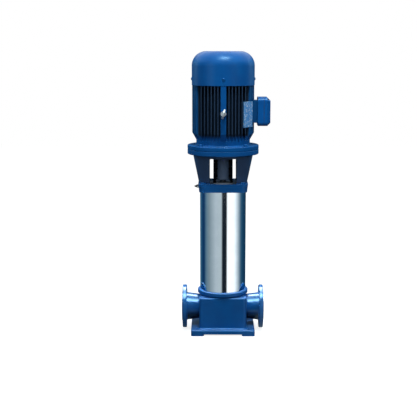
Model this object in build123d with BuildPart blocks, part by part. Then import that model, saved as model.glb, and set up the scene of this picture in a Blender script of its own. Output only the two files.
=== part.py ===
from build123d import *
from math import cos, radians, tan
import os

# Vertical multistage in-line pump with a flange-mounted three-phase motor, in millimetres.
#
# Origin: centre of the four anchor holes, on the floor. +Z is up along the shaft, -Y is the
# front with the motor's lifting eye, the suction port looks along -X and the discharge port
# along +X. Water enters at -X, rises through the stages, turns over under the pump head and
# comes back down between the stages and the outer sleeve to the discharge port.

os.makedirs("parts", exist_ok=True)

# ------------------------------------------------------------------ clearances
seat_clearance = 0.05  # radial, between two pieces of one body that seat in each other
sleeve_clearance = 0.3  # radial, round the outer sleeve's two ends
running_clearance = 0.1  # radial, between the shaft and its plain bush
moving_gap = 0.5  # between pieces that pass each other without touching
thread_end_gap = 1.0  # below a screw's end, in its hole
wear_gap = 0.3  # radial, between an impeller's neck and its wear ring
seal_film = 0.1  # between the two faces of the mechanical seal
rotor_air_gap = 0.5  # radial, between rotor and stator
cut_margin = 5.0  # how far a cut runs on past the surface it has to clear

# ------------------------------------------------------------------ shaft and stages
shaft_radius = 14.0
journal_step = 1.0
journal_margin = 6.0
impeller_radius = 58.0
impeller_tip_space = 12.0
stage_wall = 3.5
stage_radius = impeller_radius + impeller_tip_space + stage_wall
stage_pitch = 72.0
stage_count = 5
stage_floor_thickness = 4.0

# ------------------------------------------------------------------ tie bolts and sleeve
tie_bolt_radius = 6.0
tie_bolt_gap = 1.5
tie_circle_radius = stage_radius + tie_bolt_gap + tie_bolt_radius
tie_bolt_angle = 45.0
sleeve_passage = 8.0
sleeve_wall = 2.5
sleeve_radius = tie_circle_radius + tie_bolt_radius + sleeve_passage + sleeve_wall
sleeve_bore = sleeve_radius - sleeve_wall
gasket_thickness = 2.0

# ------------------------------------------------------------------ base casting
foot_height = 7.5
foot_size = 55.0
anchor_spacing_x = 215.0
anchor_spacing_y = 195.0
anchor_hole_radius = 7.0
plate_thickness = 16.5
plate_corner_radius = 10.0
plate_edge_radius = 4.0
plate_length = anchor_spacing_x + foot_size
plate_width = anchor_spacing_y + foot_size
plate_top = foot_height + plate_thickness
base_margin = 2.5
base_half = sleeve_radius + base_margin
base_corner_radius = 14.0
base_root_radius = 8.0
base_shoulder_radius = 5.0
collar_wall = 9.5
collar_radius = sleeve_radius + collar_wall
collar_straight = 15.0
collar_chamfer = 2.0
collar_flare_height = 7.0
collar_root_step = 2.0
collar_lap = 10.0

# ------------------------------------------------------------------ ports (DN65 PN16)
port_radius = 32.5
flange_radius = 92.5
flange_thickness = 17.0
raised_face_radius = 61.0
raised_face_height = 3.0
flange_circle_radius = 72.5
flange_hole_radius = 9.0
flange_chamfer = 2.0
flange_floor_gap = 7.5
nozzle_length = 55.0
nozzle_root_radius = 52.5
nozzle_flange_radius = 59.5
port_height = flange_radius + flange_floor_gap
flange_back = base_half + nozzle_length
port_face = flange_back + flange_thickness + raised_face_height

# ------------------------------------------------------------------ chambers in the base
collar_rise = 80.0
collar_top = port_height + collar_rise
sleeve_seat_depth = 12.0
sleeve_seat = collar_top - sleeve_seat_depth
base_body_top = collar_top - collar_straight - collar_flare_height
sleeve_bottom = sleeve_seat + gasket_thickness
pedestal_step = 1.5
pedestal_radius = stage_radius - pedestal_step
pedestal_rise = 6.0
stage_seat = sleeve_bottom + pedestal_rise
suction_chamber_radius = 54.0
suction_chamber_floor = 50.0
discharge_chamber_step = 3.0
discharge_chamber_radius = sleeve_bore - discharge_chamber_step
discharge_chamber_floor = 72.0
suction_duct_wall = 9.0
duct_inset = 2.0
suction_bore_overrun = 12.0
discharge_bore_gap = 8.0
tie_boss_radius = 11.0
tie_boss_drop = 18.0
tie_boss_top = sleeve_seat - tie_boss_drop
tie_thread_depth = 24.0
drain_radius = 6.0
drain_rise = 12.0
drain_height = discharge_chamber_floor + drain_rise
drain_head = 8.0
drain_across_flats = 17.0

# ------------------------------------------------------------------ lower plain bearing
bush_wall = 4.0
bush_length = 26.0
bush_boss_radius = 24.0
bush_boss_height = 24.0
journal_radius = shaft_radius - journal_step
bush_radius = journal_radius + running_clearance + bush_wall
bush_top = suction_chamber_floor + bush_boss_height
bush_bottom = bush_top - bush_length

# ------------------------------------------------------------------ impellers
impeller_lift = 2.0
eye_radius = 34.0
eye_wall = 2.5
neck_height = 11.0
shroud_thickness = 3.0
channel_height = 11.0
vane_count = 6
vane_thickness = 3.0
vane_root_radius = 20.0
vane_sweep = 75.0
vane_bend_share = 0.75  # bend radius as a share of the vane's outer radius
vane_setback = 1.0
vane_lap = 1.0
hub_wall = 5.0
hub_start = 4.0
hub_length = 30.0
spacer_wall = 4.0
impeller_nut_height = 14.0
impeller_nut_across_flats = 41.0
hub_radius = shaft_radius + hub_wall
spacer_radius = shaft_radius + spacer_wall
wear_ring_wall = 3.7
wear_ring_height = 9.0
wear_ring_bore = eye_radius + wear_gap
wear_ring_radius = wear_ring_bore + wear_ring_wall
wear_collar_wall = 5.0
diffuser_gap = 6.0
impeller_top = impeller_lift + neck_height + 2 * shroud_thickness + channel_height
diffuser_floor = impeller_top + diffuser_gap
diffuser_thickness = 4.0
diffuser_edge_gap = 6.0
diffuser_hub_wall = 4.5
diffuser_hub_height = 26.0

# ------------------------------------------------------------------ head
outlet_ring_height = 73.0
outlet_window_width = 40.0
outlet_window_height = 45.0
outlet_window_floor = 14.0
stage_top = stage_seat + stage_count * stage_pitch
head_bottom = stage_top + outlet_ring_height
head_groove_depth = 8.0
head_height = 22.0
head_half = sleeve_radius + base_margin
head_corner_radius = 24.0
side_draft = 6.7
head_spigot_height = 4.0
head_top = head_bottom + head_height
head_spigot_top = head_top + head_spigot_height
sleeve_top = head_bottom + head_groove_depth - gasket_thickness
tie_nut_height = 10.8
tie_nut_across_flats = 19.0
tie_bolt_end = 3.0

# ------------------------------------------------------------------ mechanical seal
seal_cover_radius = 62.0
seal_cover_thickness = 8.0
seal_boss_radius = 34.0
seal_bore_gap = 2.0
seal_seat_radius = 24.0
seal_seat_height = 8.0
seal_ring_radius = 21.0
seal_ring_height = 10.0
bellows_length = 24.0
bellows_folds = 3
bellows_wall = 3.0
bellows_fold_height = 2.0
seal_screw_circle_radius = 50.0
seal_screw_radius = 4.0
seal_screw_head_radius = 6.5
seal_screw_head = 8.0
seal_screw_depth = 20.0

# ------------------------------------------------------------------ vent
vent_thread_radius = 5.0
vent_web = 1.5
vent_height = head_bottom + head_groove_depth + vent_web + vent_thread_radius
vent_spot_depth = 0.6
vent_spot_radius = 10.0
vent_across_flats = 14.0
vent_hex_length = 9.0
vent_thread_length = 12.0
vent_screw_radius = 3.0
vent_cone_radius = 5.5
vent_cone_length = 11.0
vent_tip_radius = 1.5
vent_rim = 2.0
vent_end_gap = 1.0
vent_drilling_radius = 3.0

# ------------------------------------------------------------------ lantern
lantern_foot = 12.0
lantern_cone_height = 120.0
lantern_flange_thickness = 20.0
lantern_wall = 9.0
lantern_shoulder_radius = 126.0
lantern_flange_radius = 150.0
lantern_fillet = 6.0
lantern_shoulder_step = 2.0
lantern_flange_step = 12.0
window_width = 112.0
window_height = 108.0
window_corner_radius = 6.0
lantern_weld_rise = 6.5  # from a window's edge to the weld above or below it
lantern_foot_top = head_top + lantern_foot
lantern_cone_top = lantern_foot_top + lantern_cone_height
lantern_top = lantern_cone_top + lantern_flange_thickness
lantern_foot_half = head_half + head_height * tan(radians(side_draft))
lantern_root_inset = 1.5
lantern_root_radius = lantern_foot_half + lantern_foot * tan(radians(side_draft)) - lantern_root_inset
lantern_foot_step = 1.0
lantern_shoulder_bore = lantern_shoulder_radius - lantern_wall
lantern_foot_bore = lantern_root_radius - lantern_wall - lantern_foot_step
lantern_screw_radius = 6.0
lantern_screw_across_flats = 19.0
lantern_screw_head = 8.0
lantern_screw_grip = 14.0
lantern_spot_radius = 12.0
lantern_spot_depth = 2.0
lantern_spot_gap = 1.5
lantern_screw_circle_radius = lantern_root_radius + lantern_spot_gap + lantern_spot_radius
lantern_screw_offset = lantern_screw_circle_radius * cos(radians(tie_bolt_angle))

# ------------------------------------------------------------------ motor (IEC 132, FF265)
motor_spigot_radius = 115.0
motor_spigot_height = 4.0
motor_flange_thickness = 18.0
motor_bolt_circle_radius = 132.5
motor_bolt_radius = 6.0
motor_bolt_hole_radius = 7.5
motor_bolt_across_flats = 19.0
motor_bolt_head = 8.0
motor_bolt_grip = 17.0
shield_neck_height = 22.0
shield_root = 4.0
frame_length = 227.0
stator_end_room = 82.0
frame_bore = 100.0
frame_wall = 13.0
frame_radius = frame_bore + frame_wall
fin_depth = 17.0
fin_tip_radius = frame_radius + fin_depth
fin_taper_height = 30.0
fin_thickness = 4.0
fin_pitch = 13.7
fin_first = 22.5
front_fins = 6
side_fins = 4
rib_width = 23.0
frame_bottom = lantern_top + motor_flange_thickness + shield_neck_height
frame_top = frame_bottom + frame_length
register_height = 6.0
register_wall = 8.0
shield_web_bottom = 4.0
shield_web = 13.0
shield_hub_wall = 10.0

# ------------------------------------------------------------------ motor bearings (6208)
bearing_bore_radius = 20.0
bearing_radius = 40.0
bearing_width = 18.0
bearing_ring_wall = 6.0
ball_radius = 6.0
ball_count = 9
ball_gap = 0.05
cage_thickness = 3.0
cage_height = 15.0
ball_circle_radius = (bearing_bore_radius + bearing_radius) / 2
wave_spring_height = 3.0
wave_spring_gap = 1.0
lower_bearing_rise = 12.0
upper_bearing_drop = 22.0
lower_bearing_bottom = lantern_top + lower_bearing_rise
upper_bearing_bottom = frame_top - upper_bearing_drop

# ------------------------------------------------------------------ stator, rotor, shaft
stator_bore = 66.0
stator_length = frame_length - stator_end_room
stator_rise = 32.0
stator_bottom = frame_bottom + stator_rise
winding_height = 22.0
winding_inner_radius = 69.0
winding_outer_radius = 90.0
rotor_seat_radius = 24.0
rotor_end_ring_radius = 60.0
rotor_end_ring_height = 10.0
motor_shaft_radius = 19.0
shaft_extension = 80.0
shaft_gap = 3.0
shaft_chamfer = 1.0
fan_seat_radius = 15.0
key_width = 10.0
key_height = 8.0
key_length = 38.0
key_depth = 5.0
key_margin = 2.0
pump_shaft_bottom = suction_chamber_floor
motor_shaft_bottom = lantern_top - shaft_extension
pump_shaft_top = motor_shaft_bottom - shaft_gap

# ------------------------------------------------------------------ coupling
coupling_radius = 41.0
coupling_grip = 45.0
coupling_split = 0.8
coupling_chamfer = 3.0
coupling_screw_offset = 29.5
coupling_screw_radius = 4.0
coupling_screw_head_radius = 6.5
coupling_screw_head = 8.0
coupling_screw_seat = 20.0
coupling_screw_rows = 3
coupling_bottom = pump_shaft_top - coupling_grip
coupling_top = motor_shaft_bottom + coupling_grip
coupling_length = coupling_top - coupling_bottom

# ------------------------------------------------------------------ motor's upper end
rear_shield_thickness = 8.0
rear_web_depth = 2.0
shield_screw_circle_radius = frame_bore + frame_wall / 2
shield_screw_radius = 4.0
shield_screw_length = 55.0
shield_screw_head_radius = 6.5
shield_screw_head = 8.0
shield_screw_recess = 11.0
cowl_overhang = 1.5
cowl_radius = fin_tip_radius + cowl_overhang
cowl_wall = 2.0
cowl_height = 140.0
cowl_shoulder_radius = 60.0
cowl_top = frame_top + cowl_height
cowl_lug_width = 18.0
cowl_lug_height = 28.0
cowl_lug_reach = 7.0
cowl_screw_height = 26.0
cowl_screw_radius = 3.0
cowl_screw_length = 12.0
cowl_screw_head_radius = 6.0
cowl_screw_head = 3.5
grille_slot_width = 6.0
grille_outer_radius = 55.0
grille_outer_length = 22.0
grille_outer_count = 24
grille_inner_radius = 28.0
grille_inner_length = 18.0
grille_inner_count = 12
fan_radius = 105.0
fan_hub_radius = 26.0
fan_rise = 20.0
fan_bottom = frame_top + fan_rise
fan_height = 40.0
fan_blade_thickness = 4.0
fan_blade_count = 8
fan_blade_lap = 7.0
fan_blade_root = fan_hub_radius - fan_blade_lap
fan_plate_radius = 70.0
fan_plate_thickness = 4.0

# ------------------------------------------------------------------ terminal box, eye, plate
box_rise = 118.0
box_centre = frame_bottom + box_rise
box_height = 118.0
box_width = 118.0
box_wall = 4.0
box_corner_radius = 16.0
box_neck_half_height = 46.0
box_neck_half_width = 42.0
box_neck_wall = 8.0
box_neck_lap = 6.0
box_neck_cut_lap = 10.0
box_neck_length = 14.0
box_neck_face = fin_tip_radius + box_neck_length
box_depth = 25.0
lid_depth = 27.0
lid_bevel = 13.0
lid_wall = 3.0
box_screw_inset = 9.0
box_screw_radius = 2.5
box_screw_head_radius = 4.5
box_screw_head = 3.0
box_screw_depth = 14.0
terminal_block_width = 60.0
terminal_block_height = 40.0
terminal_block_depth = 12.0
terminal_post_radius = 3.0
terminal_post_height = 14.0
terminal_post_pitch_y = 20.0
terminal_post_pitch_z = 18.0
lead_slot_width = 60.0
lead_slot_height = 10.0
lead_slot_gap = 5.0
gland_across_flats = 38.0
gland_hex_length = 8.0
gland_nut_radius = 17.0
gland_nut_length = 14.0
gland_taper = 12.0
gland_spigot_radius = 10.0
cable_bore_radius = 7.0
eye_rise = 115.0
eye_height = frame_bottom + eye_rise
eye_ring_radius = 16.5
eye_bar_radius = 4.5
eye_collar_radius = 11.0
eye_collar_height = 6.0
eye_thread_radius = 6.0
eye_thread_length = 14.0
eye_boss_radius = 14.0
eye_boss_rise = 3.0
eye_twist = 15.0
nameplate_azimuth = -36.0
nameplate_width = 64.0
nameplate_height = 106.0
nameplate_thickness = 1.0
nameplate_rise = 109.0
nameplate_centre = frame_bottom + nameplate_rise
nameplate_gap = 1.0
nameplate_pad_width = 58.0
nameplate_pad_height = 100.0
nameplate_pad_face = 126.0
nameplate_pad_lap = 8.0


# ------------------------------------------------------------------ forms used many times
def ring(bottom, height, outer_radius, inner_radius=0.0, mode=Mode.ADD):
    """A round disc or ring about the Z axis, put into the part being built."""
    with BuildSketch(Plane.XY.offset(bottom)) as section:
        Circle(outer_radius)
        if inner_radius > 0:
            Circle(inner_radius, mode=Mode.SUBTRACT)
    extrude(section.sketch, amount=height, mode=mode)


def turned(outline, mode=Mode.ADD):
    """A turned form about the Z axis, from an outline of (radius, height) points."""
    with BuildSketch(Plane.XZ) as section:
        with BuildLine():
            Polyline(*outline, close=True)
        make_face()
    revolve(section.sketch, axis=Axis.Z, mode=mode)


def round_bars(bottom, height, radius, circle_radius, mode=Mode.ADD, count=4, start=tie_bolt_angle):
    """Upright round bars or holes, evenly spaced on a circle about the Z axis."""
    with BuildSketch(Plane.XY.offset(bottom)) as section:
        with PolarLocations(circle_radius, count, start):
            Circle(radius)
    extrude(section.sketch, amount=height, mode=mode)


def hex_bars(bottom, height, across_flats, circle_radius, count=4, start=tie_bolt_angle):
    """Upright hexagons for bolt heads and nuts, evenly spaced on a circle."""
    with BuildSketch(Plane.XY.offset(bottom)) as section:
        with PolarLocations(circle_radius, count, start):
            RegularPolygon(across_flats / 2, 6, major_radius=False)
    extrude(section.sketch, amount=height)


def curved_vane(inner_radius, outer_radius, sweep):
    """The section of one backward-curved vane, in the XY plane."""
    bend = vane_bend_share * outer_radius if sweep > 0 else -vane_bend_share * outer_radius
    with BuildSketch() as vane:
        with BuildLine():
            root = Vector(inner_radius, 0)
            tip = Vector(outer_radius, 0).rotate(Axis.Z, -sweep)
            spine = RadiusArc(root, tip, bend)
            offset(spine, amount=vane_thickness / 2, mode=Mode.REPLACE)
        make_face()
    return vane.sketch


# ------------------------------------------------------------------ base
with BuildPart() as base_casting:
    with BuildSketch():
        with GridLocations(anchor_spacing_x, anchor_spacing_y, 2, 2):
            RectangleRounded(foot_size, foot_size, plate_corner_radius)
    extrude(amount=foot_height)
    with BuildSketch(Plane.XY.offset(foot_height)):
        RectangleRounded(plate_length, plate_width, plate_corner_radius)
    extrude(amount=plate_thickness)
    fillet(base_casting.edges().group_by(Axis.Z)[-1], plate_edge_radius)
    with BuildSketch(Plane.XY.offset(plate_top)):
        RectangleRounded(2 * base_half, 2 * base_half, base_corner_radius)
    extrude(amount=base_body_top - plate_top)
    fillet(base_casting.edges().group_by(Axis.Z)[-1], base_shoulder_radius)
    root_edges = base_casting.edges().filter_by_position(Axis.Z, plate_top - 0.01, plate_top + 0.01)
    root_edges = root_edges.filter_by_position(Axis.X, -base_half, base_half)
    fillet(root_edges.filter_by_position(Axis.Y, -base_half, base_half), base_root_radius)

    # Round collar that takes the sleeve.
    collar_root_radius = base_half - collar_root_step
    turned(
        [
            (0, base_body_top - collar_lap),
            (collar_root_radius, base_body_top - collar_lap),
            (collar_root_radius, base_body_top - collar_root_step),
            (collar_radius, collar_top - collar_straight),
            (collar_radius, collar_top - collar_chamfer),
            (collar_radius - collar_chamfer, collar_top),
            (0, collar_top),
        ]
    )

    # Seat for the sleeve, and the discharge chamber below it.
    ring(stage_seat, collar_top - stage_seat, sleeve_radius + sleeve_clearance, mode=Mode.SUBTRACT)
    ring(
        sleeve_seat,
        collar_top - sleeve_seat,
        sleeve_radius + sleeve_clearance,
        pedestal_radius,
        mode=Mode.SUBTRACT,
    )
    ring(
        discharge_chamber_floor,
        sleeve_seat - discharge_chamber_floor,
        discharge_chamber_radius,
        pedestal_radius,
        mode=Mode.SUBTRACT,
    )
    round_bars(
        discharge_chamber_floor,
        tie_boss_top - discharge_chamber_floor,
        tie_boss_radius,
        tie_circle_radius,
    )
    round_bars(
        tie_boss_top - tie_thread_depth,
        tie_thread_depth,
        tie_bolt_radius + seat_clearance,
        tie_circle_radius,
        mode=Mode.SUBTRACT,
    )
    with BuildSketch(Plane.YZ.offset(duct_inset - base_half)):
        with Locations((0, port_height)):
            Circle(port_radius + suction_duct_wall)
    extrude(amount=base_half - suction_chamber_radius)

    # Suction chamber with the boss of the lower bearing, and the two port bores.
    ring(
        suction_chamber_floor,
        stage_seat - suction_chamber_floor,
        suction_chamber_radius,
        mode=Mode.SUBTRACT,
    )
    ring(suction_chamber_floor, bush_boss_height, bush_boss_radius)
    ring(
        bush_bottom,
        bush_length,
        bush_radius + seat_clearance,
        mode=Mode.SUBTRACT,
    )
    with BuildSketch(Plane.YZ.offset(-base_half)):
        with Locations((0, port_height)):
            Circle(port_radius)
    extrude(amount=base_half - suction_chamber_radius + suction_bore_overrun, mode=Mode.SUBTRACT)
    with BuildSketch(Plane.YZ.offset(base_half)):
        with Locations((0, port_height)):
            Circle(port_radius)
    extrude(amount=-(base_half - pedestal_radius - discharge_bore_gap), mode=Mode.SUBTRACT)

    # Anchor holes and the drain hole at the back.
    with BuildSketch():
        with GridLocations(anchor_spacing_x, anchor_spacing_y, 2, 2):
            Circle(anchor_hole_radius)
    extrude(amount=plate_top, mode=Mode.SUBTRACT)
    with BuildSketch(Plane.XZ.offset(-base_half)):
        with Locations((0, drain_height)):
            Circle(drain_radius + seat_clearance)
    extrude(amount=base_half - discharge_chamber_radius + duct_inset, mode=Mode.SUBTRACT)
base_casting.part.label = "base_casting"
export_step(base_casting.part, "parts/base_casting.step")

# Two opposite nozzles, each turned about the port axis and ending in a drilled flange.
flange_front = flange_back + flange_thickness
flange_top = port_height + flange_radius
with BuildPart() as port_nozzles:
    for side in (-1, 1):
        with BuildSketch(Plane.XZ):
            with BuildLine():
                Polyline(
                    (side * base_half, port_height + port_radius),
                    (side * base_half, port_height + nozzle_root_radius),
                    (side * flange_back, port_height + nozzle_flange_radius),
                    (side * flange_back, flange_top - flange_chamfer),
                    (side * (flange_back + flange_chamfer), flange_top),
                    (side * (flange_front - flange_chamfer), flange_top),
                    (side * flange_front, flange_top - flange_chamfer),
                    (side * flange_front, port_height + raised_face_radius),
                    (side * port_face, port_height + raised_face_radius),
                    (side * port_face, port_height + port_radius),
                    close=True,
                )
            make_face()
        revolve(axis=Axis((0, 0, port_height), (1, 0, 0)))
        with BuildSketch(Plane.YZ.offset(side * flange_back)):
            with Locations((0, port_height)):
                with PolarLocations(flange_circle_radius, 4, 45):
                    Circle(flange_hole_radius)
        extrude(amount=side * flange_thickness, mode=Mode.SUBTRACT)
port_nozzles.part.label = "port_nozzles"
export_step(port_nozzles.part, "parts/port_nozzles.step")

with BuildPart() as drain_plug:
    with BuildSketch(Plane.XZ.offset(-base_half)):
        with Locations((0, drain_height)):
            RegularPolygon(drain_across_flats / 2, 6, major_radius=False)
    extrude(amount=-drain_head)
    with BuildSketch(Plane.XZ.offset(-base_half)):
        with Locations((0, drain_height)):
            Circle(drain_radius)
    extrude(amount=base_half - discharge_chamber_radius)
drain_plug.part.label = "drain_plug"
export_step(drain_plug.part, "parts/drain_plug.step")

with BuildPart() as lower_bearing_bush:
    ring(bush_bottom, bush_length, bush_radius, journal_radius + running_clearance)
lower_bearing_bush.part.label = "lower_bearing_bush"
export_step(lower_bearing_bush.part, "parts/lower_bearing_bush.step")

# ------------------------------------------------------------------ sleeve, gaskets, tie bolts
with BuildPart() as outer_sleeve:
    ring(sleeve_bottom, sleeve_top - sleeve_bottom, sleeve_radius, sleeve_bore)
outer_sleeve.part.label = "outer_sleeve"
export_step(outer_sleeve.part, "parts/outer_sleeve.step")

with BuildPart() as sleeve_gaskets:
    for gasket_bottom in (sleeve_seat, sleeve_top):
        ring(gasket_bottom, gasket_thickness, sleeve_radius, sleeve_bore)
sleeve_gaskets.part.label = "sleeve_gaskets"
export_step(sleeve_gaskets.part, "parts/sleeve_gaskets.step")

tie_bolt_bottom = tie_boss_top - tie_thread_depth
tie_bolt_top = head_spigot_top + tie_nut_height + tie_bolt_end
with BuildPart() as tie_bolts:
    hex_bars(head_spigot_top, tie_nut_height, tie_nut_across_flats, tie_circle_radius)
    round_bars(
        head_spigot_top,
        tie_nut_height,
        tie_bolt_radius + seat_clearance,
        tie_circle_radius,
        mode=Mode.SUBTRACT,
    )
    round_bars(tie_bolt_bottom, tie_bolt_top - tie_bolt_bottom, tie_bolt_radius, tie_circle_radius)
tie_bolts.part.label = "tie_bolts"
export_step(tie_bolts.part, "parts/tie_bolts.step")

# ------------------------------------------------------------------ stages
impeller_vane = curved_vane(vane_root_radius, impeller_radius - vane_setback, vane_sweep)
diffuser_hub_bore = spacer_radius + moving_gap
diffuser_hub_radius = diffuser_hub_bore + diffuser_hub_wall
stage_bore = stage_radius - stage_wall
return_vane = curved_vane(diffuser_hub_radius - vane_lap, stage_bore + vane_lap, -vane_sweep)

for stage in range(stage_count):
    stage_floor = stage_seat + stage * stage_pitch
    diffuser_top = stage_floor + diffuser_floor + diffuser_thickness
    with BuildPart() as stage_casing:
        ring(stage_floor, stage_pitch, stage_radius, stage_radius - stage_wall)
        ring(
            stage_floor,
            stage_floor_thickness,
            stage_radius - stage_wall,
            wear_ring_radius + seat_clearance,
        )
        ring(
            stage_floor,
            wear_ring_height,
            wear_ring_radius + wear_collar_wall,
            wear_ring_radius + seat_clearance,
        )
        ring(
            stage_floor + diffuser_floor,
            diffuser_thickness,
            stage_radius - stage_wall - diffuser_edge_gap,
            diffuser_hub_bore,
        )
        ring(stage_floor + diffuser_floor, diffuser_hub_height, diffuser_hub_radius, diffuser_hub_bore)
        with BuildSketch(Plane.XY.offset(diffuser_top)):
            with PolarLocations(0, vane_count):
                add(return_vane)
        extrude(amount=stage_floor + stage_pitch - diffuser_top)
    stage_casing.part.label = f"stage_casing_{stage + 1}"
    export_step(stage_casing.part, f"parts/stage_casing_{stage + 1}.step")

    neck_bottom = stage_floor + impeller_lift
    front_shroud = neck_bottom + neck_height
    channel_bottom = front_shroud + shroud_thickness
    with BuildPart() as impeller:
        ring(neck_bottom, neck_height, eye_radius, eye_radius - eye_wall)
        ring(front_shroud, shroud_thickness, impeller_radius, eye_radius - eye_wall)
        ring(
            channel_bottom + channel_height,
            shroud_thickness,
            impeller_radius,
            shaft_radius + seat_clearance,
        )
        ring(neck_bottom + hub_start, hub_length, hub_radius, shaft_radius + seat_clearance)
        with BuildSketch(Plane.XY.offset(channel_bottom)):
            with PolarLocations(0, vane_count):
                add(impeller_vane)
        extrude(amount=channel_height)
    impeller.part.label = f"impeller_{stage + 1}"
    export_step(impeller.part, f"parts/impeller_{stage + 1}.step")

with BuildPart() as wear_rings:
    for stage in range(stage_count):
        ring(stage_seat + stage * stage_pitch, wear_ring_height, wear_ring_radius, wear_ring_bore)
wear_rings.part.label = "wear_rings"
export_step(wear_rings.part, "parts/wear_rings.step")

hub_offset = impeller_lift + hub_start
with BuildPart() as impeller_spacers:
    for stage in range(stage_count - 1):
        ring(
            stage_seat + stage * stage_pitch + hub_offset + hub_length,
            stage_pitch - hub_length,
            spacer_radius,
            shaft_radius + seat_clearance,
        )
impeller_spacers.part.label = "impeller_spacers"
export_step(impeller_spacers.part, "parts/impeller_spacers.step")

with BuildPart() as impeller_nut:
    with BuildSketch(Plane.XY.offset(stage_seat + hub_offset - impeller_nut_height)):
        RegularPolygon(impeller_nut_across_flats / 2, 6, major_radius=False)
        Circle(shaft_radius + seat_clearance, mode=Mode.SUBTRACT)
    extrude(amount=impeller_nut_height)
impeller_nut.part.label = "impeller_nut"
export_step(impeller_nut.part, "parts/impeller_nut.step")

with BuildPart() as outlet_ring:
    ring(stage_top, outlet_ring_height, stage_radius, stage_radius - stage_wall)
    for turn in (0, 60, 120):
        with BuildSketch(Plane.XZ.rotated((0, 0, turn))):
            with Locations((0, stage_top + outlet_window_floor + outlet_window_height / 2)):
                Rectangle(outlet_window_width, outlet_window_height)
        extrude(amount=stage_radius + cut_margin, both=True, mode=Mode.SUBTRACT)
outlet_ring.part.label = "outlet_ring"
export_step(outlet_ring.part, "parts/outlet_ring.step")

journal_top = bush_top + journal_margin
with BuildPart() as pump_shaft:
    turned(
        [
            (0, pump_shaft_bottom),
            (journal_radius - shaft_chamfer, pump_shaft_bottom),
            (journal_radius, pump_shaft_bottom + shaft_chamfer),
            (journal_radius, journal_top),
            (shaft_radius, journal_top),
            (shaft_radius, pump_shaft_top - shaft_chamfer),
            (shaft_radius - shaft_chamfer, pump_shaft_top),
            (0, pump_shaft_top),
        ]
    )
pump_shaft.part.label = "pump_shaft"
export_step(pump_shaft.part, "parts/pump_shaft.step")

# ------------------------------------------------------------------ head, vent and seal
vent_face = head_half + (vent_height - head_bottom) * tan(radians(side_draft)) - vent_spot_depth
with BuildPart() as pump_head:
    with BuildSketch(Plane.XY.offset(head_bottom)):
        RectangleRounded(2 * head_half, 2 * head_half, head_corner_radius)
    extrude(amount=head_height, taper=-side_draft)
    ring(head_top, head_spigot_height, lantern_foot_bore - seat_clearance)
    ring(
        head_bottom,
        head_groove_depth,
        sleeve_radius + sleeve_clearance,
        sleeve_bore - sleeve_clearance,
        mode=Mode.SUBTRACT,
    )
    ring(
        head_bottom,
        head_spigot_top - head_bottom,
        seal_boss_radius + seat_clearance,
        mode=Mode.SUBTRACT,
    )
    round_bars(
        head_bottom,
        head_spigot_top - head_bottom,
        tie_bolt_radius + moving_gap,
        tie_circle_radius,
        mode=Mode.SUBTRACT,
    )
    round_bars(
        head_spigot_top - seal_screw_depth,
        seal_screw_depth,
        seal_screw_radius + seat_clearance,
        seal_screw_circle_radius,
        mode=Mode.SUBTRACT,
    )
    with BuildSketch(Plane.XY.offset(head_top - lantern_screw_grip)):
        with GridLocations(2 * lantern_screw_offset, 2 * lantern_screw_offset, 2, 2):
            Circle(lantern_screw_radius + seat_clearance)
    extrude(amount=lantern_screw_grip, mode=Mode.SUBTRACT)
    with BuildSketch(Plane.YZ.offset(-vent_face)):
        with Locations((0, vent_height)):
            Circle(vent_spot_radius)
    extrude(amount=-vent_spot_radius, mode=Mode.SUBTRACT)
    with BuildSketch(Plane.YZ.offset(-vent_face)):
        with Locations((0, vent_height)):
            Circle(vent_thread_radius + seat_clearance)
    extrude(amount=vent_thread_length + vent_drilling_radius, mode=Mode.SUBTRACT)
    with BuildSketch(Plane.XY.offset(head_bottom)):
        with Locations((-(vent_face - vent_thread_length), 0)):
            Circle(vent_drilling_radius)
    extrude(amount=vent_height - head_bottom, mode=Mode.SUBTRACT)
pump_head.part.label = "pump_head"
export_step(pump_head.part, "parts/pump_head.step")

vent_outer_face = vent_face + vent_hex_length
with BuildPart() as vent_plug:
    with BuildSketch(Plane.YZ.offset(-vent_face)):
        with Locations((0, vent_height)):
            RegularPolygon(vent_across_flats / 2, 6, major_radius=False)
    extrude(amount=-vent_hex_length)
    with BuildSketch(Plane.YZ.offset(-vent_face)):
        with Locations((0, vent_height)):
            Circle(vent_thread_radius)
    extrude(amount=vent_thread_length)
    with BuildSketch(Plane.YZ.offset(-vent_outer_face)):
        with Locations((0, vent_height)):
            Circle(vent_screw_radius + running_clearance)
    extrude(amount=vent_hex_length + vent_thread_length, mode=Mode.SUBTRACT)
vent_plug.part.label = "vent_plug"
export_step(vent_plug.part, "parts/vent_plug.step")

vent_axis = Axis((0, 0, vent_height), (1, 0, 0))
vent_head_face = vent_outer_face + moving_gap
vent_screw_end = vent_face - vent_thread_length + vent_end_gap
with BuildPart() as vent_screw:
    with BuildSketch(Plane.XZ):
        with BuildLine():
            Polyline(
                (-vent_screw_end, vent_height),
                (-vent_screw_end, vent_height + vent_screw_radius),
                (-vent_head_face, vent_height + vent_screw_radius),
                (-vent_head_face, vent_height + vent_cone_radius),
                (-(vent_head_face + vent_rim), vent_height + vent_cone_radius),
                (-(vent_head_face + vent_cone_length), vent_height + vent_tip_radius),
                (-(vent_head_face + vent_cone_length), vent_height),
                close=True,
            )
        make_face()
    revolve(axis=vent_axis)
vent_screw.part.label = "vent_screw"
export_step(vent_screw.part, "parts/vent_screw.step")

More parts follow.
